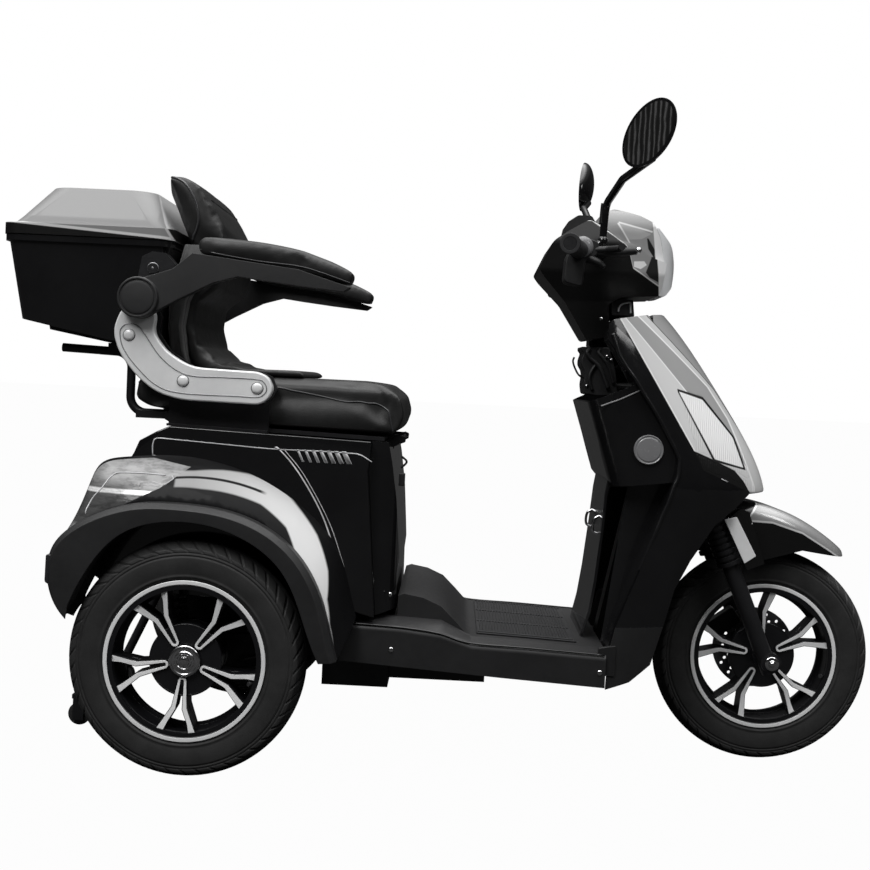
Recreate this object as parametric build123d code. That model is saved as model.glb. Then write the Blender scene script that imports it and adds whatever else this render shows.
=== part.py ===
from build123d import *

import math
import os

# Electric three-wheel scooter with a padded seat, armrests and a top box.
# Lengths are in millimetres.  While it is modelled, x runs forward from the rear
# axle, y to the rider's left and z up from the ground.  save() then moves every
# piece back by ORIGIN_AHEAD, so that the origin is under the middle of the vehicle.

# ---- driving dimensions: wheels and stance
ORIGIN_AHEAD = 446.0        # the origin lies this far ahead of the rear axle
WHEELBASE = 1067.0
EXTRA_FLOOR = WHEELBASE - 1067          # a longer wheelbase lengthens the footboard
DRAWN_AXLE = WHEELBASE - EXTRA_FLOOR    # front axle as the front body and steering are drawn
WHEEL_RADIUS = 208.0        # 3.00-10 tyre
TYRE_WIDTH = 80.0
BEAD_RADIUS = 134.0
FLANGE_RADIUS = 141.0
RIM_WIDTH = 76.0
HUB_DISC_RADIUS = 63.0
HUB_CAP_RADIUS = 27.0
SPOKE_COUNT = 5
SPOKE_ROOT = 40.0           # where the two arms of a spoke part, from the centre
SPOKE_FORK = 84.0           # where they turn outwards
SPOKE_SPREAD = 13.4         # half angle between the two arms at the rim, degrees
REAR_SPOKE_ANGLE = -94.9
FRONT_SPOKE_ANGLE = 24.7
RUNNING_FIT = 0.06          # radial play of a wheel or shaft in its bearing
SEAT_GAP = 0.3              # play between pieces that rest on each other

# ---- driving dimensions: steering
RAKE = 23.4                 # steering axis leans back from the vertical, degrees
STEER_OFFSET = 36.0         # front axle ahead of the steering axis, along the ground
LEG_HALF_SPACING = 85.0
LEG_AHEAD = 27.5            # fork legs ahead of the steering axis, square to it
LEG_RADIUS = 16.0
BOOT_RADIUS = 24.0
STEM_RADIUS = 14.0
HEAD_TUBE_RADIUS = 22.0
FRONT_AXLE_RADIUS = 7.5
REAR_STUB_RADIUS = 10.0
BAR_RADIUS = 11.0
GRIP_RADIUS = 16.0
GRIP_END = 308.0            # grip ends, to each side
DISC_RADIUS = 80.0
BAR_X = 706.0               # middle of the handlebar, ahead of the rear axle
BAR_Z = 962.0
BAR_BENDS = ((90, 0, 0), (160, 3, 42), (315, 7, 78))   # (out, down, back) of each bend
GRIP_START = 198.0
HEAD_HALF = 92.0            # half width of the cover round the bar
LENS_HALF = 76.0
MIRROR_OUT = 330.0
MIRROR_FOOT = (704.0, 130.0, 984.0)
MIRROR_SEMI = (24.0, 46.0, 64.0)    # depth, half width and half length of a housing
MIRROR_TURN_RIGHT = 42.0    # glass turned outwards, degrees
MIRROR_TURN_LEFT = 14.0
MIRROR_LEAN = 45.0          # oval leaning outwards, degrees
GLASS_THICKNESS = 3.0
MIRROR_RIGHT = (748.0, 1143.0)   # (x, z) of the housing's middle
MIRROR_LEFT = (706.0, 1156.0)

# ---- driving dimensions: body
BODY_HALF = 232.0           # flat sides of the rear body
REAR_HALF_TRACK = BODY_HALF + 51
FENDER_HALF = BODY_HALF + 68
FLARE_HALF = BODY_HALF + 106
ARCH_RADIUS = 240.0         # wheel arch, about the rear axle
SKIN = 4.0                  # wall of the plastic covers
FLOOR_HALF = BODY_HALF - 4
SHIELD_HALF = 208.0
NECK_HALF = 128.0           # opening in the front body for the head's neck
COLUMN_HALF = 136.0
GLOVE_HALF = 180.0
SEAT_HALF = 205.0
PAD_HALF = SEAT_HALF - 40
PLATE_INNER = SEAT_HALF + 1     # steel side plates of the seat
PLATE_OUTER = PLATE_INNER + 8
BRACKET_INNER = SEAT_HALF + 37
BRACKET_THICKNESS = 20.0
PIVOT = (-112.0, 832.0)     # armrest pivot (x, z)
PIVOT_RADIUS = 36.0
ARM_PAD_HALF = SEAT_HALF + 50   # middle of the armrest pads
ARM_PAD_WIDTH = 60.0
SEAT_HINGE = (348.0, 598.0)  # seat's front hinge (x, z)
BOX_HALF = 198.0
LID_HINGE = (-390.0, 888.0)   # top box lid's rear hinge (x, z)
TIP_WHEEL_RADIUS = 21.0
TIP_WHEEL = (-226.0, 62.0)   # anti-tip wheel's centre (x, z)
TIP_WHEEL_HALF = 150.0

RAIL_IN = BODY_HALF - 137     # frame rails, from the middle
RAIL_OUT = RAIL_IN + 30
SHOCK_OUT = BODY_HALF - 42    # dampers, from the middle
RAIL_NOSE = DRAWN_AXLE - 319  # rails end at the neck's cross-member
ARM_PIVOT = (215.0, 215.0)  # trailing arm's pivot (x, z)
SHOCK_TOP = (-78.0, 470.0)
PANEL_HALF = BODY_HALF - 26   # panel below the front of the cushion


WHEEL_FRONT = (DRAWN_AXLE, 0.0, WHEEL_RADIUS)
STEER_FOOT = DRAWN_AXLE - STEER_OFFSET   # steering axis at axle height


def save(name, shape):
    export_step(Pos(-ORIGIN_AHEAD, 0, 0) * shape, f"parts/{name}.step")


def save_ahead(name, shape):
    """Saves a piece of the front body or steering, moved on by a longer wheelbase."""
    save(name, Pos(EXTRA_FLOOR, 0, 0) * shape)


# ---- shapes that many pieces share

def corner_radii(outline, radii):
    """The wanted corner radii, each no larger than its two runs allow."""
    fitted = []
    count = len(outline)
    for number, wanted in enumerate(radii):
        here = outline[number]
        before = outline[number - 1]
        after = outline[(number + 1) % count]
        runs = [math.dist(here, before), math.dist(here, after)]
        turn = ((before[0] - here[0]) * (after[0] - here[0])
                + (before[1] - here[1]) * (after[1] - here[1])) / (runs[0] * runs[1])
        half_angle = math.acos(max(-1, min(1, turn))) / 2
        fitted.append(min(wanted, 0.44 * min(runs) * math.tan(half_angle)))
    return fitted


def side_solid(outline, y_low, y_high, radii=0):
    """Prism over a closed (x, z) outline, with corners rounded where radii says so."""
    points = [(x, 0, z) for x, z in outline]
    if radii:
        radii = corner_radii(outline, radii)
        wire = FilletPolyline(*points, radius=radii, close=True)
    else:
        wire = Polyline(*points, close=True)
    face = make_face(wire)
    return Pos(0, y_low, 0) * extrude(face, amount=y_high - y_low, dir=(0, 1, 0))


def both_sides(outline, y_near, y_far, radii=0):
    """The same prism on the right and on the left."""
    right = side_solid(outline, -y_far, -y_near, radii)
    return right + mirror(right, about=Plane.XZ)


def box_between(low, high):
    size = [b - a for a, b in zip(low, high)]
    middle = [(a + b) / 2 for a, b in zip(low, high)]
    return Pos(*middle) * Box(*size)


def rod(start, end, radius):
    """Round bar from start to end."""
    line = Line(start, end)
    return Solid.make_cylinder(radius, line.length, Plane(origin=start, z_dir=line % 0))


def bent_tube(points, radius, bends):
    """Round bar along straight runs joined by arcs."""
    path = FilletPolyline(*points, radius=bends)
    section = Plane(origin=path @ 0, z_dir=path % 0) * Circle(radius)
    return sweep(section, path=path)


def along_y(radius, y_low, y_high, x=0.0, z=0.0):
    """Cylinder whose axis runs across the vehicle."""
    return rod((x, y_low, z), (x, y_high, z), radius)


def wheel_place(x, y, z=WHEEL_RADIUS):
    return Pos(x, y, z)


# ---- wheels: modelled about their own centre, axle along y, outer face towards -y

def tyre():
    """Few straight bands, as the tyres share one small triangle allowance."""
    bead = RIM_WIDTH / 2 - 7
    wall = TYRE_WIDTH / 2
    half = [(BEAD_RADIUS, bead), (FLANGE_RADIUS + 9, wall - 2), (WHEEL_RADIUS - 18, wall),
            (WHEEL_RADIUS, wall - 25)]
    outline = half + [(r, -y) for r, y in reversed(half)]
    return revolve(make_face(Polyline(*outline, close=True)), Axis.Y)


def rim_barrel():
    bead = RIM_WIDTH / 2 - 7
    lip = RIM_WIDTH / 2 - 3
    edge = RIM_WIDTH / 2
    outline = [
        (BEAD_RADIUS - 9, -edge), (FLANGE_RADIUS, -edge), (FLANGE_RADIUS, -lip),
        (BEAD_RADIUS, -bead), (BEAD_RADIUS, bead), (FLANGE_RADIUS, lip),
        (FLANGE_RADIUS, edge), (BEAD_RADIUS - 9, edge),
    ]
    return revolve(make_face(Polyline(*outline, close=True)), Axis.Y)


def spoke(y_low, y_high):
    """Two arms that start as a narrow U at the hub and fork out to the rim."""
    reach = BEAD_RADIUS - 6
    spread = math.radians(SPOKE_SPREAD)
    tip = (reach * math.cos(spread), reach * math.sin(spread))
    shape = None
    for side in (1, -1):
        arm = [
            (SPOKE_ROOT - 4, side * 2), (SPOKE_ROOT - 4, side * 8),
            (SPOKE_FORK - 2, side * 14), (tip[0], side * (tip[1] + 6)),
            (tip[0] + 2, side * (tip[1] - 5)), (SPOKE_FORK + 2, side * 5),
        ]
        solid = side_solid(arm, y_low, y_high)
        shape = solid if shape is None else shape + solid
    return shape + along_y(8, y_low, y_high, SPOKE_ROOT - 4)


def rim(spoke_angle, hub_low, hub_high, bore_low, bore_high, bore):
    """Alloy wheel: barrel, five forked spokes, hub disc and bored hub."""
    face = -RIM_WIDTH / 2 + 8
    shape = rim_barrel()
    for number in range(SPOKE_COUNT):
        turn = spoke_angle + 360 / SPOKE_COUNT * number
        shape += Rot(0, -turn, 0) * spoke(face, face + 16)
    shape += along_y(HUB_DISC_RADIUS, face + 4, face + 18)
    shape += along_y(bore + 14, hub_low, hub_high)
    return shape - along_y(bore, bore_low, bore_high)


def rear_rim():
    face = -RIM_WIDTH / 2 + 8
    bore = REAR_STUB_RADIUS + RUNNING_FIT
    shape = rim(REAR_SPOKE_ANGLE, face, 24, face - 1, 25, bore)
    shape += along_y(HUB_DISC_RADIUS - 3, face + 10, 22) - along_y(bore, face, 25)
    shape += along_y(HUB_CAP_RADIUS, face - 5, face)
    return shape + along_y(9, face - 9, face - 5)


def front_rim():
    bore = FRONT_AXLE_RADIUS + RUNNING_FIT
    return rim(FRONT_SPOKE_ANGLE, -46, 46, -47, 47, bore)


def brake_disc():
    shape = along_y(DISC_RADIUS, 46, 49.5)
    shape -= along_y(FRONT_AXLE_RADIUS + RUNNING_FIT + 1, 45, 50)
    for ring, count in ((50, 12), (60, 15), (70, 18)):
        for number in range(count):
            turn = math.radians(360 / count * number + ring)
            x = ring * math.cos(turn)
            z = ring * math.sin(turn)
            shape -= along_y(3.2, 45, 51, x, z)
    return shape


def tip_wheel():
    return along_y(TIP_WHEEL_RADIUS, -11, 11) - along_y(5 + RUNNING_FIT, -12, 12)


# ---- steering: modelled about the steering axis, which is the local z axis

def steered(shape):
    """Leans a piece that was built round an upright steering axis."""
    return Pos(STEER_FOOT, 0, WHEEL_RADIUS) * Rot(0, -RAKE, 0) * shape


def up_axis(z):
    """Distance along the steering axis of its point at height z."""
    return (z - WHEEL_RADIUS) / math.cos(math.radians(RAKE))


def axis_x(z):
    """How far forward the steering axis is at height z."""
    return STEER_FOOT - (z - WHEEL_RADIUS) * math.tan(math.radians(RAKE))


CROWN_LOW = up_axis(482)
CROWN_HIGH = CROWN_LOW + 24
HEAD_LOW = CROWN_HIGH + 2
HEAD_HIGH = up_axis(756)
STEM_TOP = up_axis(968)


def fork():
    """Crown, two telescopic legs with bellows, stem and front axle."""
    plate = Circle(26) + Pos(LEG_AHEAD, LEG_HALF_SPACING) * Circle(BOOT_RADIUS)
    plate += Pos(LEG_AHEAD, -LEG_HALF_SPACING) * Circle(BOOT_RADIUS)
    crown = extrude(make_hull(plate.edges()), amount=CROWN_HIGH - CROWN_LOW)
    shape = Pos(0, 0, CROWN_LOW) * crown
    shape += Pos(0, 0, CROWN_LOW) * Cylinder(
        STEM_RADIUS, STEM_TOP - CROWN_LOW, align=(Align.CENTER, Align.CENTER, Align.MIN))
    for side in (-1, 1):
        leg = Cylinder(LEG_RADIUS, 225, align=(Align.CENTER, Align.CENTER, Align.MIN))
        leg = Pos(0, 0, -34) * leg
        top = Cylinder(13, CROWN_LOW, align=(Align.CENTER, Align.CENTER, Align.MIN))
        shape += Pos(LEG_AHEAD, side * LEG_HALF_SPACING, 0) * (leg + top)
        for step in range(9):
            fold = Pos(0, 0, 191 + 12 * step) * Cylinder(BOOT_RADIUS, 7)
            fold += Pos(0, 0, 197 + 12 * step) * Cylinder(BOOT_RADIUS - 4, 7)
            shape += Pos(LEG_AHEAD, side * LEG_HALF_SPACING, 0) * fold
    shape = steered(shape)
    for side in (-1, 1):
        lug = along_y(19, side * LEG_HALF_SPACING - 15, side * LEG_HALF_SPACING + 15,
                      DRAWN_AXLE, WHEEL_RADIUS)
        nut = along_y(13, side * LEG_HALF_SPACING + side * 15 - 6,
                      side * LEG_HALF_SPACING + side * 15 + 6, DRAWN_AXLE, WHEEL_RADIUS)
        shape += lug + nut
    shape += along_y(FRONT_AXLE_RADIUS, -LEG_HALF_SPACING, LEG_HALF_SPACING,
                     DRAWN_AXLE, WHEEL_RADIUS)
    shape += along_y(BAR_RADIUS + 7, -34, 34, BAR_X, BAR_Z)
    stay = [(945, 506), (958, 500), (967.7, 478.1), (986.7, 505.1), (975, 516), (950, 520)]
    shape += side_solid(stay, -25, 25) - mudguard_blank(0)
    return shape - handlebar()


def brake_caliper():
    angle = math.radians(143)
    x = DRAWN_AXLE + 78 * math.cos(angle)
    z = WHEEL_RADIUS + 78 * math.sin(angle)
    block = Pos(x, 51, z) * Rot(0, 53, 0) * Box(36, 28, 66)
    slot = along_y(DISC_RADIUS + 3, 43, 52, DRAWN_AXLE, WHEEL_RADIUS)
    arm = rod((x - 2, 58, z), (x + 30, LEG_HALF_SPACING - 8, z + 2), 8)
    return fillet(block.edges(), 4) - slot + (arm - fork())


MUDGUARD = [(968, 483, 64), (984, 502, 69), (1034, 507, 71), (1094, 491, 71), (1154, 461, 65),
            (1192, 436, 52), (1213, 420, 26)]      # (x, top, half width) of its sections


def mudguard_blank(inset):
    """Solid inside the front mudguard's skin, drawn in by inset."""
    sections = []
    for x, top, half in MUDGUARD:
        half -= inset
        top -= inset
        corner = min(32, 0.8 * half)
        wire = FilletPolyline((x, -half, 340), (x, -half, top), (x, half, top), (x, half, 340),
                              radius=[1, corner, corner, 1], close=True)
        sections.append(make_face(wire))
    return loft(sections)


def front_fender():
    """Mudguard carried by the fork: crowned top, side skirts and leg covers."""
    skirt = [(960, 600), (960, 476), (1002, 484), (1036, 396), (1122, 421), (1207, 409),
             (1230, 409), (1230, 600)]
    shape = (mudguard_blank(0) & side_solid(skirt, -90, 90)) - mudguard_blank(3.5)
    cover = [(966, 478), (990, 500), (1006, 494), (1040, 398), (1008, 384)]
    shape += both_sides(cover, LEG_HALF_SPACING + BOOT_RADIUS + 1,
                        LEG_HALF_SPACING + BOOT_RADIUS + 5)
    bridge = [(992, 497), (1006, 492), (1016, 466), (1004, 462)]
    return shape + both_sides(bridge, 68, LEG_HALF_SPACING + BOOT_RADIUS + 5)


def bar_point(side, y, drop, back):
    return (BAR_X - back, side * y, BAR_Z - drop)


def handlebar():
    """Bar, swept back to the grips."""
    points = [bar_point(side, *BAR_BENDS[step])
              for side, step in ((-1, 2), (-1, 1), (-1, 0), (1, 0), (1, 1), (1, 2))]
    return bent_tube(points, BAR_RADIUS, 60)


def along_grip(side, y):
    """Point on the straight outer run of the bar, y out from the middle."""
    (y_in, drop_in, back_in), (y_out, drop_out, back_out) = BAR_BENDS[1:]
    share = (y - y_in) / (y_out - y_in)
    return bar_point(side, y, drop_in + share * (drop_out - drop_in),
                     back_in + share * (back_out - back_in))


def grips():
    shape = None
    for side in (-1, 1):
        start = along_grip(side, GRIP_START)
        end = along_grip(side, GRIP_END)
        sleeve = rod(start, end, GRIP_RADIUS)
        sleeve += rod(end, along_grip(side, GRIP_END + 7), GRIP_RADIUS + 2)
        sleeve -= handlebar()
        shape = sleeve if shape is None else shape + sleeve
    return shape


def levers():
    """Lever perches, levers and switch clusters on the bar."""
    shape = None
    for side in (-1, 1):
        a = along_grip(side, 166)
        b = along_grip(side, GRIP_START - 4)
        perch = rod(a, b, 21) - handlebar()
        x, y, z = b
        root = (x + 10, y - side * 12, z + 1)
        blade = [root, (x + 52, y + side * 6, z + 3), (x + 66, y + side * 50, z),
                 (x + 62, y + side * 108, z - 3)]
        perch += bent_tube(blade, 6, 14) - handlebar()
        shape = perch if shape is None else shape + perch
    return shape


def head_cover():
    """Black cover round the bar and stem, open for them where they pass."""
    outline = [(690, 803), (735, 812), (728, 874), (752, 886), (820, 891), (826, 906),
               (830, 952), (800, 962), (768, 985), (741, 992), (705, 1020), (684, 1030),
               (648, 1008), (616, 985), (592, 932), (602, 918), (645, 873)]
    radii = [8, 8, 14, 14, 4, 14, 2, 14, 14, 14, 20, 10, 20, 40, 8, 8, 60]
    shape = side_solid(outline, -HEAD_HALF, HEAD_HALF, radii)
    front = [(-62, 790), (62, 790), (70, 876), (HEAD_HALF, 930), (HEAD_HALF, 985),
             (64, 1045), (-64, 1045), (-HEAD_HALF, 985), (-HEAD_HALF, 930), (-70, 876)]
    section = FilletPolyline(*[(560, y, z) for y, z in front],
                             radius=[12, 12, 30, 24, 30, 24, 24, 30, 24, 30], close=True)
    shape &= extrude(make_face(section), amount=330, dir=(1, 0, 0))
    return shape - fork() - handlebar()


def head_round():
    """Space that the headlight and its shell fill: round in front and at the corners."""
    plan = Spline((690, -LENS_HALF), (780, -LENS_HALF), (836, -LENS_HALF + 16), (858, 0),
                  (836, LENS_HALF - 16), (780, LENS_HALF), (690, LENS_HALF))
    outline = extrude(make_face([plan, Line(plan @ 1, plan @ 0)]), amount=200)
    face = FilletPolyline((690, -LENS_HALF, 886), (690, -LENS_HALF, 1058),
                          (690, LENS_HALF, 1058), (690, LENS_HALF, 886),
                          radius=[26, 52, 52, 26], close=True)
    return (Pos(0, 0, 870) * outline) & extrude(make_face(face), amount=200, dir=(1, 0, 0))


def head_shell():
    """Silver upper shell of the head, behind the headlight lens."""
    outline = [(703, 1026), (708, 1046), (734, 1056), (780, 1043), (806, 1029),
               (820, 1000), (831, 953), (800, 963), (768, 986), (741, 993)]
    radii = [2, 12, 14, 40, 10, 40, 2, 14, 14, 14]
    return side_solid(outline, -LENS_HALF, LENS_HALF, radii) & head_round()


def headlight_lens():
    outline = [(806.3, 1029.3), (846, 988), (857, 949), (850, 910), (836, 893), (820.5, 891),
               (826.5, 906), (831, 953), (820.5, 1000)]
    radii = [4, 40, 60, 14, 8, 2, 10, 30, 30]
    return side_solid(outline, -LENS_HALF, LENS_HALF, radii) & head_round()


def instrument():
    """Clear hood over the dials."""
    outline = [(640, 1004), (644, 1026), (664, 1040), (690, 1040), (700, 1024), (684, 1030.5),
               (648, 1008.5)]
    return side_solid(outline, -52, 52, [2, 10, 12, 8, 1, 8, 4])


def mirror_place(side, centre):
    """Frame of a mirror: glass across local x = 0, facing back and outwards."""
    x, z = centre
    turn = MIRROR_TURN_RIGHT if side < 0 else MIRROR_TURN_LEFT
    return (Pos(x, side * MIRROR_OUT, z) * Rot(0, 0, -side * turn)
            * Rot(-side * MIRROR_LEAN, 0, 0))


def mirror_unit(side, centre):
    """Oval housing, hollowed for its glass, on a bent stem."""
    depth, width, height = MIRROR_SEMI
    housing = scale(Sphere(10), by=(depth / 10, width / 10, height / 10))
    housing &= Pos(depth, 0, 0) * Box(2 * depth, 4 * width, 4 * height)
    housing -= mirror_glass_blank(0.0)
    x, z = centre
    foot_x, foot_y, foot_z = MIRROR_FOOT
    path = [(foot_x, side * foot_y, foot_z),
            (foot_x + 2, side * (foot_y + 4), foot_z + 66),
            ((foot_x + x) / 2 - 4, side * (foot_y + MIRROR_OUT) / 2, z - 62),
            (x + 12, side * (MIRROR_OUT - 18), z - 38)]
    stem = bent_tube(path, 7, 26)
    root = rod(bar_point(side, foot_y, 2, 24), path[0], 8)
    keep = mirror_place(side, centre) * Pos(-20 + GLASS_THICKNESS + 3, 0, 0) * Box(40, 200, 200)
    arm = (stem - keep) + root + Pos(*path[0]) * Sphere(10)
    return mirror_place(side, centre) * housing + arm - handlebar()


def mirror_glass_blank(play):
    depth, width, height = MIRROR_SEMI
    oval = Ellipse(width - 5 - play, height - 5 - play)
    face = Plane(origin=(0, 0, 0), x_dir=(0, 1, 0), z_dir=(1, 0, 0)) * oval
    return extrude(face, amount=GLASS_THICKNESS)


def mirror_glasses():
    right = mirror_place(-1, MIRROR_RIGHT) * mirror_glass_blank(0.0)
    left = mirror_place(1, MIRROR_LEFT) * mirror_glass_blank(0.0)
    return right + left


# ---- chassis

def frame_tube(x_low, x_high, z_low, z_high):
    """Square tube on each side, or upright, between the given limits."""
    right = box_between((x_low, -RAIL_OUT, z_low), (x_high, -RAIL_IN, z_high))
    return right + mirror(right, about=Plane.XZ)


def frame():
    """Welded frame from the neck's cross-member to the seat hinge."""
    shape = frame_tube(200, RAIL_NOSE + EXTRA_FLOOR, 190, 220)
    shape += frame_tube(205, 235, 186, 575)
    shape += frame_tube(-95, 235, 300, 330)
    shape += frame_tube(-95, -70, 300, 575)
    shape += frame_tube(-95, 300, 557, 582)
    for x_low, x_high in ((-95, -70), (205, 235), (272, 300)):
        shape += box_between((x_low, -RAIL_IN, 557), (x_high, RAIL_IN, 582))
    for x_low, x_high in ((-95, -70), (60, 90), (205, 235)):
        shape += box_between((x_low, -RAIL_IN, 305), (x_high, RAIL_IN, 330))
    block = RAIL_OUT + 25
    shape += box_between((222, -block, 138), (345, block, 190))
    shape += box_between((340, -block + 12, 154), (525, block - 12, 194))
    shape += frame_tube(560, 590, 215, 320) & footboard_hull(SKIN)
    shape += along_y(12, -SHOCK_OUT + 8, SHOCK_OUT - 8, *ARM_PIVOT)
    shape += both_sides([(205, 230), (235, 230), (235, 195), (205, 195)], RAIL_OUT, RAIL_OUT + 15)
    shape += along_y(10, -SHOCK_OUT - 15, SHOCK_OUT + 15, *SHOCK_TOP)
    shape += both_sides([(-95, 455), (-70, 455), (-70, 490), (-95, 490)], RAIL_OUT, RAIL_OUT + 15)
    x, z = SEAT_HINGE
    lug = [(285, 560), (300, 582), (x - 7, z + 6), (x, z + 8), (x + 7, z + 5),
           (x + 7, z - 5), (x - 3, z - 9), (335, 584), (306, 558)]
    return shape + both_sides(lug, 84, 94) + along_y(4, -94, 94, x, z)


def neck_frame():
    """Cross-member, down tube and head tube at the front of the frame."""
    shape = box_between((RAIL_NOSE, -RAIL_OUT, 190), (RAIL_NOSE + 30, RAIL_OUT, 220))
    tube = Plane(origin=(RAIL_NOSE + 9, 0, 205), x_dir=(0, 1, 0), z_dir=(78, 0, 415)) * Rectangle(40, 40)
    shape += extrude(tube, amount=423)
    head = steered(Pos(0, 0, HEAD_LOW) * Cylinder(
        HEAD_TUBE_RADIUS, HEAD_HIGH - HEAD_LOW, align=(Align.CENTER, Align.CENTER, Align.MIN)))
    bore = steered(Pos(0, 0, HEAD_LOW - 5) * Cylinder(
        STEM_RADIUS + RUNNING_FIT, HEAD_HIGH - HEAD_LOW + 10,
        align=(Align.CENTER, Align.CENTER, Align.MIN)))
    return shape + head - bore


def tip_arms():
    """Arms that carry the two small wheels behind the rear axle."""
    x, z = TIP_WHEEL
    shape = None
    for side in (-1, 1):
        y = side * TIP_WHEEL_HALF
        path = [(-95, side * (RAIL_IN + 15), 315), (-150, y, 262), (x, y, z + 34)]
        arm = bent_tube(path, 9, 40)
        arm += Pos(x, y, z + 34) * Box(24, 38, 8)
        for wall in (-17, 17):
            arm += Pos(x, y + wall, z + 12) * Box(20, 4, 44)
            arm += along_y(10, y + wall - 2, y + wall + 2, x, z)
        arm += along_y(5, y - 17, y + 17, x, z)
        arm -= box_between((-95, -200, 280), (-60, 200, 340))
        shape = arm if shape is None else shape + arm
    return shape


def drive_unit():
    """Rear axle with its motor, reduction gear, brake plates and trailing arms."""
    axle = (0, WHEEL_RADIUS)
    plate = REAR_HALF_TRACK - 30
    shape = along_y(20, -plate, plate, *axle)
    shape += along_y(70, -85, 20, *axle) + along_y(85, 20, 66, *axle)
    shape += along_y(60, -plate, -plate + 17, *axle) + along_y(60, plate - 17, plate, *axle)
    tip = REAR_HALF_TRACK + 29
    shape += along_y(REAR_STUB_RADIUS, -tip, tip, *axle)
    x, z = ARM_PIVOT
    arm = [(0, WHEEL_RADIUS + 18), (x, z + 18), (x + 12, z + 13), (x + 18, z),
           (x + 12, z - 13), (x, z - 18), (0, WHEEL_RADIUS - 18)]
    arm_in = SHOCK_OUT - 40
    arm_out = SHOCK_OUT - 18
    shape += both_sides(arm, arm_in, arm_out) - along_y(12, -SHOCK_OUT, SHOCK_OUT, x, z)
    shoe = [(-48, 205), (-22, 205), (-10, 214), (-10, 190), (-48, 190)]
    return shape + both_sides(shoe, arm_in, SHOCK_OUT + 15)


def shocks():
    """Coil-over dampers between the axle and the frame."""
    foot = (-35, WHEEL_RADIUS - 2 + SEAT_GAP)
    top = SHOCK_TOP
    shape = None
    for side in (-1, 1):
        y = side * SHOCK_OUT
        low = (foot[0], y, foot[1])
        high = (top[0], y, top[1])
        damper = rod(low, high, 8)
        step = 12
        length = math.dist(low, high)
        turns = int((length - 70) / 14)
        for turn in range(turns):
            share = (35 + turn * 14) / length
            a = [p + (q - p) * share for p, q in zip(low, high)]
            b = [p + (q - p) * (share + 7 / length) for p, q in zip(low, high)]
            damper += rod(tuple(a), tuple(b), 21)
        damper -= along_y(10, -SHOCK_OUT - 15, SHOCK_OUT + 15, *SHOCK_TOP)
        shape = damper if shape is None else shape + damper
    return shape


def battery():
    half = RAIL_IN - 5
    return box_between((-62, -half, 330 + SEAT_GAP), (198, half, 505))


# ---- footboard

FLOOR_NOSE = 738 + EXTRA_FLOOR


def floor_section(x, z_side, z_floor, inset):
    """Cross-section of the footboard: skirts, rounded shoulders and floor."""
    half = FLOOR_HALF - inset
    z_side -= inset * 0.4
    z_floor -= inset
    corners = [(x, -half, 150), (x, -half, z_side), (x, -half + 42, z_floor),
               (x, half - 42, z_floor), (x, half, z_side), (x, half, 150)]
    return make_face(FilletPolyline(*corners, radius=12, close=True))


def footboard_hull(inset):
    reach = inset * 5
    stations = [(258 - reach, 270, 278), (368, 266, 279), (440, 258, 276), (496, 243, 250),
                (600 + EXTRA_FLOOR, 240, 246), (FLOOR_NOSE + reach, 234, 240)]
    sections = [floor_section(x, side, floor, inset) for x, side, floor in stations]
    body = loft(sections, ruled=True)
    hump = [(359 + inset, 225), (359 + inset, 317 - inset), (370 + inset, 321 - inset),
            (405, 315 - inset), (438 - inset, 301 - inset), (465 - inset, 275 - inset),
            (492 - inset, 247 - inset), (492 - inset, 225)]
    return body + side_solid(hump, -FLOOR_HALF + 44 + inset, FLOOR_HALF - 44 - inset)


def footboard():
    under = side_solid([(200, 400), (200, 202), (262, 202), (550 + EXTRA_FLOOR, 185),
                        (FLOOR_NOSE - 7, 176), (FLOOR_NOSE + 42, 174), (FLOOR_NOSE + 42, 400)],
                       -FLOOR_HALF - 32, FLOOR_HALF + 32)
    return (footboard_hull(0) & under) - footboard_hull(SKIN)


def floor_mat():
    area = box_between((506, -165, 225), (FLOOR_NOSE - 48, 165, 330))
    return (Pos(0, 0, 3.5) * footboard_hull(0) & area) - Pos(0, 0, SEAT_GAP) * footboard_hull(0)


# ---- rear body

BODY_SIDE = [(-205, 415), (-123, 559), (-114, 581), (-83, 599), (-61, 609), (300, 598),
             (299, 567), (296, 547), (319, 283), (250, 300), (-150, 310), (-195, 340)]
PANEL_NOSE = 357.0             # foremost line of the panel below the cushion
BODY_FRONT = [(300.3, 598.2), (330, 598), (338, 560), (348, 494), (PANEL_NOSE, 385),
              (354, 357), (355, 294), (319.3, 283)]


def rear_body():
    """Cover over the battery, open below, with a flat top that the seat stands on."""
    shape = side_solid(BODY_SIDE, -BODY_HALF, BODY_HALF)
    void = [(-198, 415), (-119.5, 556), (-110, 578), (-82, 594.8), (-60.5, 605), (296, 594),
            (295, 567), (292, 547), (316, 200), (-230, 200), (-191, 340)]
    shape -= side_solid(void, -BODY_HALF + SKIN, BODY_HALF - SKIN)
    front_gap = [(280, 590), (330, 590), (330, 200), (280, 200)]
    return shape - side_solid(front_gap, -PANEL_HALF + 6, PANEL_HALF - 6)


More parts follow.
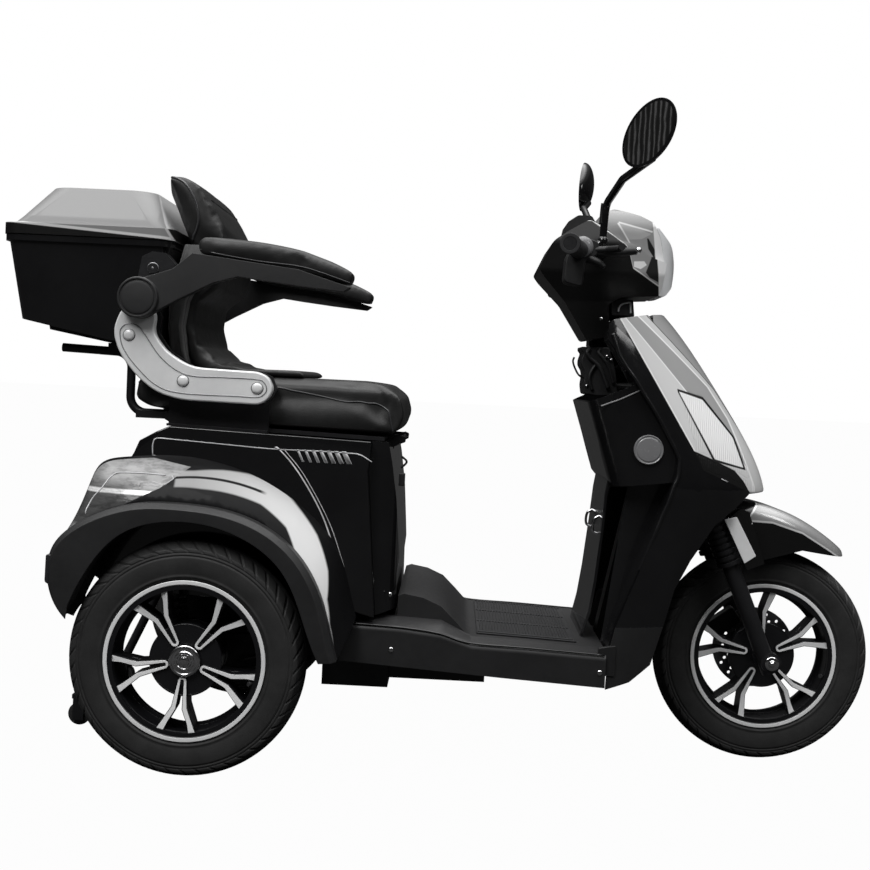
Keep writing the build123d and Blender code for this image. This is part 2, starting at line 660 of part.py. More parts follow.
def body_front():
    """Panel below the front of the cushion, round at its upright edges."""
    plan = RectangleRounded(260, 2 * PANEL_HALF, 45)
    upright = Pos(PANEL_NOSE - 130, 0, 200) * extrude(plan, amount=500)
    inner_plan = RectangleRounded(260 - 2 * SKIN, 2 * PANEL_HALF - 2 * SKIN, 41)
    inner = Pos(PANEL_NOSE - 130, 0, 200) * extrude(inner_plan, amount=500)
    side = side_solid(BODY_FRONT + [(296.3, 547), (299.3, 567)], -BODY_HALF, BODY_HALF)
    void = [(200, 594), (326.5, 594), (334, 559), (344, 494), (353, 385), (350, 357),
            (351, 250), (200, 250)]
    shape = side & upright
    shape -= side_solid(void, -BODY_HALF, BODY_HALF) & inner
    notch = box_between((312, 66, 580), (372, 98, 640))
    return shape - notch - mirror(notch, about=Plane.XZ) - frame()


CREASE = [(-200, 290), (-208, 320), (-213, 370), (-212, 425), (-201, 492), (-178, 539),
          (-136, 551), (-40, 557), (89, 530), (180, 478), (248, 405), (277, 319), (288, 283)]
FLARE_EDGE = [(-211, 277), (-229, 303), (-241, 352), (-232, 400), (-199, 435), (-160, 457),
              (-91, 478), (-25, 481), (88, 465), (176, 414), (231, 330), (251, 262), (263, 221)]
ARCH_LIP = [(-200, 299), (-164, 370), (-115, 424), (-21, 451), (91, 429), (161, 377),
            (218, 251), (233, 219)]


def fender_section(y, share):
    """Section of the rear fender at y: share 0 at the body, 1 at the flare."""
    points = [(a + (c - a) * share, y, b + (d - b) * share)
              for (a, b), (c, d) in zip(CREASE, FLARE_EDGE)]
    top = Spline(*points)
    middle = (0, y, WHEEL_RADIUS)
    return make_face([top, Line(top @ 1, middle), Line(middle, top @ 0)])


def arch_void():
    lip = Spline(*[(x, 0, z) for x, z in ARCH_LIP])
    low = [Line(lip @ 1, (233, 0, 0)), Line((233, 0, 0), (-200, 0, 0)),
           Line((-200, 0, 0), lip @ 0)]
    face = make_face([lip] + low)
    return Pos(0, BODY_HALF - 32, 0) * extrude(face, amount=200, dir=(0, 1, 0))


def fender(side):
    """Fender over a rear wheel; the wheel arch is open below."""
    sections = [fender_section(BODY_HALF + SEAT_GAP, 0), fender_section(BODY_HALF + 36, 0.34),
                fender_section(FENDER_HALF, 1)]
    shape = loft(sections) - arch_void()
    return shape if side > 0 else mirror(shape, about=Plane.XZ)


def tail_lamp_region():
    outline = [(-230, 470), (-166, 570), (-131, 560), (-14, 540), (-60, 503), (-92, 487),
               (-197, 429), (-215, 410)]
    return side_solid(outline, BODY_HALF + 8, FENDER_HALF + 1)


def flare_section(y, inset):
    """Section of the flare at y, its outer edge drawn in towards the wheel by inset."""
    points = []
    for x, z in FLARE_EDGE:
        reach = math.dist((x, z), (0, WHEEL_RADIUS))
        share = 1 - inset / reach
        points.append((x * share, y, WHEEL_RADIUS + (z - WHEEL_RADIUS) * share))
    outer = Spline(*points)
    lip = Spline(*[(x, y, z) for x, z in ARCH_LIP])
    return make_face([outer, Line(outer @ 1, lip @ 1), lip, Line(lip @ 0, outer @ 0)])


def flare(side):
    """Lip round the wheel arch, standing out past the tyre."""
    low = FENDER_HALF + SEAT_GAP
    full = extrude(flare_section(low, 0), amount=FLARE_HALF - 12 - low, dir=(0, 1, 0))
    edge = loft([flare_section(FLARE_HALF - 12, 0), flare_section(FLARE_HALF, 9)])
    shape = full + edge
    return shape if side > 0 else mirror(shape, about=Plane.XZ)


# ---- seat with its frame, armrests and top box

BRACKET = [(-145, 819), (-161, 774), (-149, 736), (-118, 697), (-82, 669), (-37, 657),
           (101, 655), (117, 664), (127, 684), (117, 705), (98, 713), (-22, 716), (-67, 743),
           (-89, 774), (-85, 804), (-98, 826)]
RIVETS = [(-131, 767), (-33, 691), (98, 684)]
EAR = [(-142, 835), (-126, 868), (-119, 908), (-101, 917), (-78, 915), (-60, 896),
       (-70, 868), (-84, 835)]


def seat_frame():
    """Pan, side plates, uprights, ears and armrest pins of the seat."""
    pan = [(-76, 620), (-58, 610.5), (113, 605), (322, 599.2), (322, 606), (115, 611.7),
           (-60, 631.7), (-76, 634)]
    shape = side_solid(pan, -PLATE_INNER, PLATE_INNER)
    shape += both_sides([(-133, 620), (-76, 620), (-60, 631), (-76, 633), (-133, 633)],
                        170, 190)
    plate = [(-67, 609.8), (113, 604.3), (113, 656), (-67, 656)]
    shape += both_sides(plate, PLATE_INNER, PLATE_OUTER)
    flange = [(-67, 609.8), (113, 604.3), (113, 608.3), (-67, 613.8)]
    shape += both_sides(flange, PLATE_INNER, PLATE_OUTER + 16)
    shape += both_sides(BRACKET, PLATE_INNER, PLATE_OUTER)
    shape += both_sides(EAR, PLATE_INNER, PLATE_OUTER)
    shape += both_sides(EAR, BRACKET_INNER - 14, BRACKET_INNER - 4)
    web = PLATE_INNER + 4
    for x, z in RIVETS:
        for side in (-1, 1):
            shape += along_y(9, side * web, side * BRACKET_INNER, x, z)
    for side in (-1, 1):
        shape += along_y(9, side * web, side * BRACKET_INNER, -99, 887)
        shape += along_y(24, side * web, side * (BRACKET_INNER - 14), *PIVOT)
        shape += along_y(10, side * web, side * (BRACKET_INNER + 44), *PIVOT)
    for z in (725, 880):
        shape += along_y(8, -web, web, -66, z)
    x, z = SEAT_HINGE
    lug = [(300, 600.8), (300, 606.6), (x - 6, z + 7.5), (x + 3, z + 7.5), (x + 8, z + 3),
           (x + 7, z - 5), (x, z - 8), (x - 7, z - 4), (x - 10, z + 2)]
    shape += both_sides(lug, 70, 82)
    return shape - along_y(4 + RUNNING_FIT, -95, 95, x, z)


def arm_brackets():
    """Aluminium arms that carry the armrest pivots."""
    grooved = both_sides(BRACKET, BRACKET_INNER, BRACKET_INNER + BRACKET_THICKNESS)
    pin = along_y(10, -BRACKET_INNER - 60, BRACKET_INNER + 60, *PIVOT)
    return grooved - pin


def cushion():
    outline = [(-142, 646), (-141, 702), (266, 701), (334, 695), (362, 678), (367, 647),
               (357, 620), (341, 607), (115, 612.3), (-60, 632.3)]
    radii = [12, 18, 60, 26, 14, 18, 12, 6, 60, 30]
    shape = side_solid(outline, -SEAT_HALF, SEAT_HALF, radii)
    across = RectangleRounded(2 * SEAT_HALF, 108, 16)
    profile = Plane(origin=(-160, 0, 652), x_dir=(0, 1, 0), z_dir=(1, 0, 0)) * across
    return shape & extrude(profile, amount=560)


PAD = [(182, 700), (161, 715), (57, 714), (-6, 724), (-40, 752), (-52, 797), (-44, 838),
       (-8, 866), (4, 910), (10, 958), (-22, 1014), (-48, 1052), (-80, 1068), (-110, 1068),
       (-97, 1046), (-52, 947), (-28, 925), (-50, 866), (-66, 838), (-66, 790), (-54, 740), (-36, 700)]


def seat_pad():
    """Padded middle of the seat, the backrest and the headrest in one cover."""
    radii = [6, 20, 60, 30, 30, 30, 20, 20, 30, 60, 30, 30, 14, 8, 14, 20, 20, 30, 20, 20,
             20, 20]
    shape = side_solid(PAD, -PAD_HALF, PAD_HALF, radii)
    across = RectangleRounded(2 * PAD_HALF, 420, 26)
    profile = Plane(origin=(-160, 0, 868), x_dir=(0, 1, 0), z_dir=(1, 0, 0)) * across
    return (shape & extrude(profile, amount=560)) - cushion()


def back_shell():
    """Ribbed shell behind the backrest."""
    outline = [(-72, 757), (-58, 708), (-30, 708), (-48, 745), (-60, 797), (-58, 838),
               (-30, 875), (-10, 930), (-20, 945), (-50, 945), (-72, 900)]
    shape = side_solid(outline, -SEAT_HALF + 20, SEAT_HALF - 20,
                       [10, 8, 8, 10, 10, 10, 10, 10, 8, 10, 20])
    shape -= cushion() + seat_pad()
    for z in (725, 880):
        shape -= along_y(8, -PLATE_INNER - 4, PLATE_INNER + 4, -66, z)
    return shape


ARM = [(-101, 868), (-54, 884), (-20, 913), (164, 893), (256, 866), (245, 858), (171, 864),
       (102, 871), (60, 876), (17, 863), (-44, 831), (-83, 808), (-112, 797), (-146, 832),
       (-130, 862)]


def arm(side):
    """Moulded arm of an armrest, bored for its pivot pin."""
    low = BRACKET_INNER + BRACKET_THICKNESS + SEAT_GAP
    shape = side_solid(ARM, low, low + 22)
    shape += along_y(PIVOT_RADIUS, low, low + 26, *PIVOT)
    shape -= along_y(10 + RUNNING_FIT, low - 1, low + 26, *PIVOT)
    return shape if side > 0 else mirror(shape, about=Plane.XZ)


def arm_pad(side):
    outline = [(-14, 944), (92, 938), (162, 926), (234, 901), (264, 889), (257, 867),
               (164, 893.3), (-13, 912.6)]
    shape = side_solid(outline, ARM_PAD_HALF - 30, ARM_PAD_HALF + 30,
                       [14, 60, 60, 20, 8, 4, 60, 10])
    shape -= side_solid(ARM, ARM_PAD_HALF - 55, ARM_PAD_HALF + 45)
    return shape if side > 0 else mirror(shape, about=Plane.XZ)


def plan_box(z, x_rear, x_front, half, corner):
    """Rounded rectangle, as a horizontal section of the top box."""
    face = RectangleRounded(x_front - x_rear, 2 * half, corner)
    return Pos((x_rear + x_front) / 2, 0, z) * face


def tub_hull(inset):
    low = plan_box(745 + inset, -346 + inset, -87 - inset, 182 - inset, 22 - inset)
    high = plan_box(941, -379 + inset, -80 - inset, BOX_HALF - inset, 24 - inset)
    under = [(-400, 801 + inset), (-346, 789 + inset), (-187, 758 + inset),
             (-60, 751 + inset), (-60, 960), (-400, 960)]
    return loft([low, high]) & side_solid(under, -220, 220)


def box_tub():
    """Lower half of the top box with its latch and hinge knuckles."""
    shape = tub_hull(0) - tub_hull(SKIN)
    rim = plan_box(930, -383, -76, BOX_HALF + 4, 26)
    shape += extrude(rim, amount=11) - tub_hull(SKIN) - tub_hull(0)
    x, z = LID_HINGE
    knuckle = along_y(6, 30, 45, x, z) + box_between((x, 30, z - 6), (-366, 45, z + 6))
    knuckle -= along_y(3 + RUNNING_FIT, 0, 60, x, z)
    shape += knuckle + mirror(knuckle, about=Plane.XZ)
    return shape


def lid_hull(inset):
    rim = extrude(plan_box(942, -385 + inset, -73 - inset, 204 - inset, 28 - inset),
                  amount=20 - inset)
    low = plan_box(960 - 1.2 * inset, -374 + inset, -84 - inset, 196 - inset, 28 - inset)
    middle = plan_box(975, -359 + inset, -93 - inset, 190 - inset, 30 - inset)
    top = plan_box(1038 - inset, -327 + inset, -130 - inset, 128 - inset, 46 - inset)
    return rim + loft([low, middle]) + loft([middle, top])


def box_lid():
    x, z = LID_HINGE
    shape = lid_hull(0) - lid_hull(SKIN)
    strap = box_between((x - 5, 47, z), (-384, 60, 946))
    strap += box_between((x - 5, 47, 944), (-380, 60, 956)) + along_y(6, 47, 60, x, z)
    shape += strap + mirror(strap, about=Plane.XZ) + along_y(3, -60, 60, x, z)
    return shape


def box_rack():
    """Tubes and plate between the seat frame and the top box."""
    plate = [(-340, 787.3), (-187, 757.7), (-110, 753.4), (-110, 746), (-187, 750), (-338, 776)]
    shape = side_solid(plate, -60, 60)
    shape += box_between((-205, -128, 734), (-188, 128, 754))
    for side in (-1, 1):
        y = side * 120
        path = [(-292, y, 742), (-162, y, 738), (-162, y, 627), (-76, y, 627)]
        shape += bent_tube(path, 8, 30)
    return shape


# ---- front body

def plan_section(z, nose, half):
    """Horizontal section of the front body: straight back, sides meeting at the nose."""
    back = SHIELD_BACK
    length = nose - back
    points = [(back, -half), (back + 0.45 * length, -0.965 * half),
              (back + 0.80 * length, -0.62 * half), (nose, 0),
              (back + 0.80 * length, 0.62 * half), (back + 0.45 * length, 0.965 * half),
              (back, half)]
    curve = Spline(*[(x, y, z) for x, y in points])
    return make_face([curve, Line(curve @ 1, curve @ 0)])


def front_hull(inset):
    """Solid inside the skin of the front body, drawn in by inset."""
    upper = [(532, 1056, 208), (610, 1023, 205), (700, 965, 196), (790, 901, 184),
             (872, 828, 170)]
    lower = [(150, 930, 215), (290, 985, 213), (420, 1030, 211), (532, 1056, 208)]
    top = [plan_section(z, nose - 1.3 * inset, half - inset) for z, nose, half in upper]
    base = [plan_section(z, nose - 1.3 * inset, half - inset) for z, nose, half in lower]
    return loft(top) + loft(base)


SHIELD_BACK = 660.0
SHIELD_REAR = [(740, 171), (742, 232), (754, 287), (793, 389), (837, 509), (855, 562),
               (856, 591), (834, 635), (776, 722), (718, 800), (717, 828)]
SHIELD_TOP = [(726, 838), (785, 850), (830, 857)]
SHIELD_ARCH = [(1056, 528), (1008, 527), (982, 505), (934, 470), (889, 406), (861, 353),
               (844, 286), (823, 214), (784, 184)]
NOSE_EDGE = [(728, 829), (758, 803), (883, 609), (905, 571), (1008, 529), (1056, 528)]
SKIRT_TOP = 284.0


def shield_shell():
    outline = SHIELD_REAR + SHIELD_TOP + [(1120, 857), (1120, 528)] + SHIELD_ARCH
    bounds = side_solid(outline, -260, 260)
    shell = (front_hull(0) & bounds) - front_hull(SKIN) & bounds
    top = side_solid([(717, 828), (726, 838), (785, 850), (830, 857), (860, 857), (860, 850),
                      (830, 852), (785, 845), (728, 833), (721, 824)], -260, 260)
    shell += top & front_hull(0)
    neck = box_between((600, -NECK_HALF, 700), (806, NECK_HALF, 900))
    return shell - neck


def nose_region():
    outline = NOSE_EDGE + [(1120, 528), (1120, 900), (728, 900)]
    return side_solid(outline, -260, 260)


def skirt_region():
    return box_between((600, -260, 100), (1100, 260, SKIRT_TOP))


def lamp_region(outline, near):
    return both_sides(outline, near, 260)


NOSE_LAMP = [(856, 712), (868, 716), (905, 706), (935, 676), (997, 600), (1010, 560),
             (1003, 556), (905, 603), (892, 603)]
MARKER_LAMP = [(886, 606), (896, 598), (960, 572), (1001, 552), (1003, 543), (905, 573)]


def splash_panel():
    """Panel behind the front wheel, between the sides of the front body."""
    line = [(784, 186), (823, 214), (844, 286), (861, 353), (889, 404)]
    strip = line + [(x - 4, z + 2) for x, z in line[::-1]]
    strip = side_solid(strip, -250, 250)
    return (strip & front_hull(SKIN + SEAT_GAP)) + (strip & skirt_region() & front_hull(SKIN - 1))


def round_column(x, z, lean, rise, inset):
    """Space ahead of a leaning rear face that starts at (x, z), round at its upright edges."""
    corner = 48 if lean < 0 else 60
    half = GLOVE_HALF if lean < 0 else COLUMN_HALF
    plan = RectangleRounded(280, 2 * (half - inset), corner - inset)
    slope = Vector(lean, 0, rise)
    return extrude(Pos(x + inset + 140, 0, z) * plan, amount=1.6 * slope.length, dir=slope)


def inner_shield():
    """Rider's side of the leg shield: column, glove box and closing panel."""
    outer = [(x - 1.5, z) for x, z in SHIELD_REAR[:9]]
    inner = [(x + 4.5, z) for x, z in SHIELD_REAR[:9]]
    panel = side_solid(outer + inner[::-1], -SHIELD_HALF + 6, SHIELD_HALF - 6)
    wings = [(774, 722), (716, 800), (716, 821), (721, 821), (723, 801), (781, 723)]
    panel += both_sides(wings, NECK_HALF, SHIELD_HALF - 6)
    panel &= front_hull(SKIN + SEAT_GAP)
    panel &= box_between((600, -260, 232), (1000, 260, 900))
    column = [(697, 218), (715, 290), (723, 350), (732, 450), (736, 514), (741, 545),
              (856, 562), (842, 509), (798, 389), (759, 287), (742, 218)]
    column_void = [(701, 200), (702, 225), (719.5, 290), (727.5, 350), (736.5, 450),
                   (740.5, 512), (744, 529), (795, 534.5), (795, 560), (900, 560), (900, 200)]
    glove = [(690, 686), (712, 620), (733, 548), (746, 534), (856, 548), (859, 592),
             (838, 637), (780, 726), (772, 722)]
    pocket = [(694.5, 700), (695, 687), (717, 621), (738, 551), (750, 539), (790, 542),
              (795, 596), (776, 720), (776, 760), (694.5, 760)]
    box = side_solid(glove, -GLOVE_HALF, GLOVE_HALF) & round_column(743, 520, -46, 142, 0)
    hollow = side_solid(pocket, -GLOVE_HALF + SKIN, GLOVE_HALF - SKIN)
    hollow &= round_column(743, 520, -46, 142, SKIN)
    behind = side_solid([(781, 730), (799, 596), (795, 552), (900, 556), (900, 730)],
                        -GLOVE_HALF + SKIN, GLOVE_HALF - SKIN)
    post = side_solid(column, -COLUMN_HALF, COLUMN_HALF) & round_column(697, 218, 38, 315, 0)
    shape = post + panel + box
    shape -= side_solid(column_void, -COLUMN_HALF + SKIN, COLUMN_HALF - SKIN)
    shape = shape - hollow - behind
    return shape - Pos(-EXTRA_FLOOR, 0, SEAT_GAP) * footboard_hull(0)


save_ahead("tyre_front", wheel_place(*WHEEL_FRONT) * tyre())
save_ahead("rim_front", wheel_place(*WHEEL_FRONT) * front_rim())
save_ahead("brake_disc", wheel_place(*WHEEL_FRONT) * brake_disc())
for name, side in (("right", -1), ("left", 1)):
    turn = Rot(0, 0, 0) if side < 0 else Rot(0, 0, 180)
    place = wheel_place(0, side * REAR_HALF_TRACK) * turn
    save(f"tyre_rear_{name}", place * tyre())
    save(f"rim_rear_{name}", place * rear_rim())
save_ahead("fork", fork())
save_ahead("brake_caliper", brake_caliper())
save_ahead("front_fender", front_fender())
save_ahead("handlebar", handlebar())
save_ahead("grips", grips())
save_ahead("levers", levers())
save_ahead("head_cover", head_cover())
save_ahead("head_shell", head_shell())
save_ahead("headlight_lens", headlight_lens())
save_ahead("instrument_hood", instrument())
save_ahead("mirrors", mirror_unit(-1, MIRROR_RIGHT) + mirror_unit(1, MIRROR_LEFT))
save_ahead("mirror_glasses", mirror_glasses())

shell = shield_shell()
nose = shell & nose_region()
nose_lamps = nose & lamp_region(NOSE_LAMP, 30)
marker_lamps = nose & lamp_region(MARKER_LAMP, 50)
save_ahead("nose_lamps", nose_lamps + marker_lamps)
save_ahead("nose_panel", nose - nose_lamps - marker_lamps)
save_ahead("lower_skirt", (shell & skirt_region()) + splash_panel())
save_ahead("leg_shield", shell - nose_region() - skirt_region())
save_ahead("inner_shield", inner_shield())

save("frame", frame())
save_ahead("neck_frame", neck_frame())
save("tip_arms", tip_arms())
save("drive_unit", drive_unit())
save("rear_shocks", shocks())
save("battery", battery())
save("footboard", footboard())
save("floor_mat", floor_mat())
save("rear_body", rear_body())
save("body_front", body_front())
fenders = fender(-1) + fender(1)
lamp_space = tail_lamp_region() + mirror(tail_lamp_region(), about=Plane.XZ)
save("tail_lamps", fenders & lamp_space)
save("rear_fenders", fenders - lamp_space)
save("arch_flares", flare(-1) + flare(1))
save("seat_frame", seat_frame())
save("arm_brackets", arm_brackets())
save("cushion", cushion())
save("seat_pad", seat_pad())
save("back_shell", back_shell())
save("arm_left", arm(1))
save("arm_right", arm(-1))
save("arm_pad_left", arm_pad(1))
save("arm_pad_right", arm_pad(-1))
save("box_tub", box_tub())
save("box_lid", box_lid())
save("box_rack", box_rack())
save("tip_wheel_left", wheel_place(TIP_WHEEL[0], TIP_WHEEL_HALF, TIP_WHEEL[1]) * tip_wheel())
save("tip_wheel_right", wheel_place(TIP_WHEEL[0], -TIP_WHEEL_HALF, TIP_WHEEL[1]) * tip_wheel())
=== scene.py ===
import math

import bmesh
import bpy
from mathutils import Matrix, Vector


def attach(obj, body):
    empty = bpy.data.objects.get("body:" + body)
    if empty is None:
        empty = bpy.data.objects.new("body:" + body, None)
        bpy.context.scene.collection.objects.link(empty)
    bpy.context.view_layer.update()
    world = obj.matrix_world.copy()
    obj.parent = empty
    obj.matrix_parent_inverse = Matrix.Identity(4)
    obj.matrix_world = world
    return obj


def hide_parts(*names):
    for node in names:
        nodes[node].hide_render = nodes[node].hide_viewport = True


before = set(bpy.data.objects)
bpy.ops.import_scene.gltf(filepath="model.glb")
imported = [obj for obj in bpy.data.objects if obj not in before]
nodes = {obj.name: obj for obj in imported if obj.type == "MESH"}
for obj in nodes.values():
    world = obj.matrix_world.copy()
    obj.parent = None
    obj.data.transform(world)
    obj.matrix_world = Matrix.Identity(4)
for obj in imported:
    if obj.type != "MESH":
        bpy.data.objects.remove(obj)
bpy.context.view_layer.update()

# The design was drawn from the rear axle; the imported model's origin lies AHEAD of it.
AHEAD = 0.446
MM = 0.001
AXLE_HEIGHT = 208


def at(x, y, z):
    """A point of the design, in millimetres from under the rear axle."""
    return Vector((x * MM - AHEAD, y * MM, z * MM))


def off(point):
    """Design millimetres of a point in the model."""
    return Vector(((point.x + AHEAD) / MM, point.y / MM, point.z / MM))


def linked(name, data):
    """New object in the scene."""
    made = bpy.data.objects.new(name, data)
    bpy.context.scene.collection.objects.link(made)
    return made


# ---- camera

CAMERA_PLACE = (-0.0014, -2.4055, 0.70975)
CAMERA_YAW, CAMERA_PITCH, CAMERA_ROLL = (math.radians(a) for a in (0.83, -2.48, 2.688))


def make_camera():
    """Camera at the right side, a little above the seat, tilted with the ground."""
    data = bpy.data.cameras.new("camera")
    data.lens = 50.64
    data.sensor_width = 36.0
    camera = linked("camera", data)
    level = math.cos(CAMERA_PITCH)
    forward = Vector((-math.sin(CAMERA_YAW) * level, math.cos(CAMERA_YAW) * level,
                      math.sin(CAMERA_PITCH)))
    right = Vector((math.cos(CAMERA_YAW), math.sin(CAMERA_YAW), 0))
    up = right.cross(forward)
    rolled_right = right * math.cos(CAMERA_ROLL) + up * math.sin(CAMERA_ROLL)
    rolled_up = up * math.cos(CAMERA_ROLL) - right * math.sin(CAMERA_ROLL)
    turn = Matrix((rolled_right, rolled_up, -forward)).transposed().to_4x4()
    camera.matrix_world = Matrix.Translation(CAMERA_PLACE) @ turn
    bpy.context.scene.camera = camera


# ---- material helpers

def new_material(name, **shader):
    """Node material; gives it with its tree and its shader."""
    material = bpy.data.materials.new(name)
    material.use_nodes = True
    tree = material.node_tree
    bsdf = tree.nodes["Principled BSDF"]
    for key, value in shader.items():
        bsdf.inputs[key.replace("_", " ")].default_value = value
    return material, tree, bsdf


def object_coords(tree, scale=(1, 1, 1)):
    coords = tree.nodes.new("ShaderNodeTexCoord")
    mapping = tree.nodes.new("ShaderNodeMapping")
    mapping.inputs["Scale"].default_value = scale
    tree.links.new(coords.outputs["Object"], mapping.inputs["Vector"])
    return mapping.outputs["Vector"]


def noise(tree, vector, scale, detail=4.0, rough=0.5):
    """Cloudy value from 0 to 1."""
    made = tree.nodes.new("ShaderNodeTexNoise")
    made.inputs["Scale"].default_value = scale
    made.inputs["Detail"].default_value = detail
    made.inputs["Roughness"].default_value = rough
    tree.links.new(vector, made.inputs["Vector"])
    return made.outputs["Fac"]


def ramp(tree, fac, stops):
    """Colour or grey tone through (place, tone) stops."""
    made = tree.nodes.new("ShaderNodeValToRGB")
    elements = made.color_ramp.elements
    while len(elements) < len(stops):
        elements.new(0.5)
    for element, (place, colour) in zip(elements, stops):
        element.position = place
        if not isinstance(colour, tuple):
            colour = (colour, colour, colour)
        element.color = (*colour, 1.0)
    tree.links.new(fac, made.inputs["Fac"])
    return made.outputs["Color"]


def bump(tree, bsdf, height, strength=0.3, distance=0.001):
    made = tree.nodes.new("ShaderNodeBump")
    made.inputs["Strength"].default_value = strength
    made.inputs["Distance"].default_value = distance
    tree.links.new(height, made.inputs["Height"])
    tree.links.new(made.outputs["Normal"], bsdf.inputs["Normal"])


def vary(tree, bsdf, socket, fac, low, high):
    made = tree.nodes.new("ShaderNodeMapRange")
    made.inputs["To Min"].default_value = low
    made.inputs["To Max"].default_value = high
    tree.links.new(fac, made.inputs["Value"])
    tree.links.new(made.outputs["Result"], bsdf.inputs[socket])


def painted(name, colour, rough, coat=0.0, metallic=0.0, flake=0.0):
    """Smooth moulded or painted surface with faint dust and polish marks."""
    material, tree, bsdf = new_material(name, Metallic=metallic)
    bsdf.inputs["Coat Weight"].default_value = coat
    bsdf.inputs["Coat Roughness"].default_value = 0.04
    vector = object_coords(tree)
    cloud = noise(tree, vector, 9.0, 6.0, 0.6)
    lighter = tuple(min(1.0, c * 1.18 + 0.002) for c in colour)
    tree.links.new(ramp(tree, cloud, [(0.35, colour), (0.7, lighter)]),
                   bsdf.inputs["Base Color"])
    vary(tree, bsdf, "Roughness", noise(tree, vector, 60.0, 5.0, 0.7), rough * 0.75,
         rough * 1.35)
    if flake:
        bump(tree, bsdf, noise(tree, vector, 2600.0, 1.0), flake, 0.0002)
    return material


def grained(name, colour, rough, scale=900.0, depth=0.0004, strength=0.35):
    """Moulded plastic or rubber with a fine grain."""
    material, tree, bsdf = new_material(name)
    vector = object_coords(tree)
    cloud = noise(tree, vector, 14.0, 6.0, 0.6)
    lighter = tuple(min(1.0, c * 1.4 + 0.003) for c in colour)
    tree.links.new(ramp(tree, cloud, [(0.3, colour), (0.75, lighter)]),
                   bsdf.inputs["Base Color"])
    vary(tree, bsdf, "Roughness", noise(tree, vector, 120.0, 4.0, 0.6), rough * 0.85,
         min(1.0, rough * 1.2))
    bump(tree, bsdf, noise(tree, vector, scale, 2.0), strength, depth)
    return material


def leather(name):
    """Black vinyl with pebbled grain and soft folds."""
    material, tree, bsdf = new_material(name)
    bsdf.inputs["Specular IOR Level"].default_value = 0.42
    vector = object_coords(tree)
    cells = tree.nodes.new("ShaderNodeTexVoronoi")
    cells.inputs["Scale"].default_value = 520.0
    cells.feature = "SMOOTH_F1"
    tree.links.new(vector, cells.inputs["Vector"])
    cloud = noise(tree, vector, 16.0, 6.0, 0.62)
    tree.links.new(ramp(tree, cloud, [(0.3, 0.009), (0.8, 0.017)]), bsdf.inputs["Base Color"])
    vary(tree, bsdf, "Roughness", noise(tree, vector, 90.0, 4.0), 0.36, 0.55)
    mix = tree.nodes.new("ShaderNodeMath")
    mix.operation = "MULTIPLY_ADD"
    mix.inputs[1].default_value = 0.35
    tree.links.new(cells.outputs["Distance"], mix.inputs[0])
    tree.links.new(noise(tree, vector, 45.0, 3.0), mix.inputs[2])
    bump(tree, bsdf, mix.outputs[0], 0.45, 0.0007)
    return material


def metal(name, colour, rough, stretch=(1, 1, 1), scale=260.0):
    """Bare metal with fine directional brushing."""
    material, tree, bsdf = new_material(name, Metallic=1.0)
    vector = object_coords(tree, stretch)
    lines = noise(tree, vector, scale, 3.0, 0.6)
    darker = tuple(c * 0.82 for c in colour)
    tree.links.new(ramp(tree, lines, [(0.3, darker), (0.7, colour)]), bsdf.inputs["Base Color"])
    vary(tree, bsdf, "Roughness", lines, rough * 0.8, rough * 1.3)
    bump(tree, bsdf, lines, 0.06, 0.0003)
    return material


def rubber_tyre(name):
    """Dusty black tyre rubber with a fine grain."""
    material, tree, bsdf = new_material(name)
    vector = object_coords(tree)
    cloud = noise(tree, vector, 22.0, 7.0, 0.65)
    tree.links.new(ramp(tree, cloud, [(0.3, 0.012), (0.75, 0.026)]), bsdf.inputs["Base Color"])
    vary(tree, bsdf, "Roughness", noise(tree, vector, 140.0, 4.0), 0.52, 0.78)
    bump(tree, bsdf, noise(tree, vector, 1100.0, 2.0), 0.3, 0.0004)
    return material


BLACK = (0.0050, 0.0050, 0.0055)


def math_node(tree, kind, a, b=None, c=None):
    """Arithmetic on sockets or plain numbers."""
    made = tree.nodes.new("ShaderNodeMath")
    made.operation = kind
    for slot, value in zip(made.inputs, (a, b, c)):
        if isinstance(value, (int, float)):
            slot.default_value = value
        elif value is not None:
            tree.links.new(value, slot)
    return made.outputs[0]


def split_coords(tree):
    """Sockets of the x and z coordinates of the model, in metres."""
    coords = tree.nodes.new("ShaderNodeTexCoord")
    split = tree.nodes.new("ShaderNodeSeparateXYZ")
    tree.links.new(coords.outputs["Object"], split.inputs[0])
    return split.outputs["X"], split.outputs["Z"]


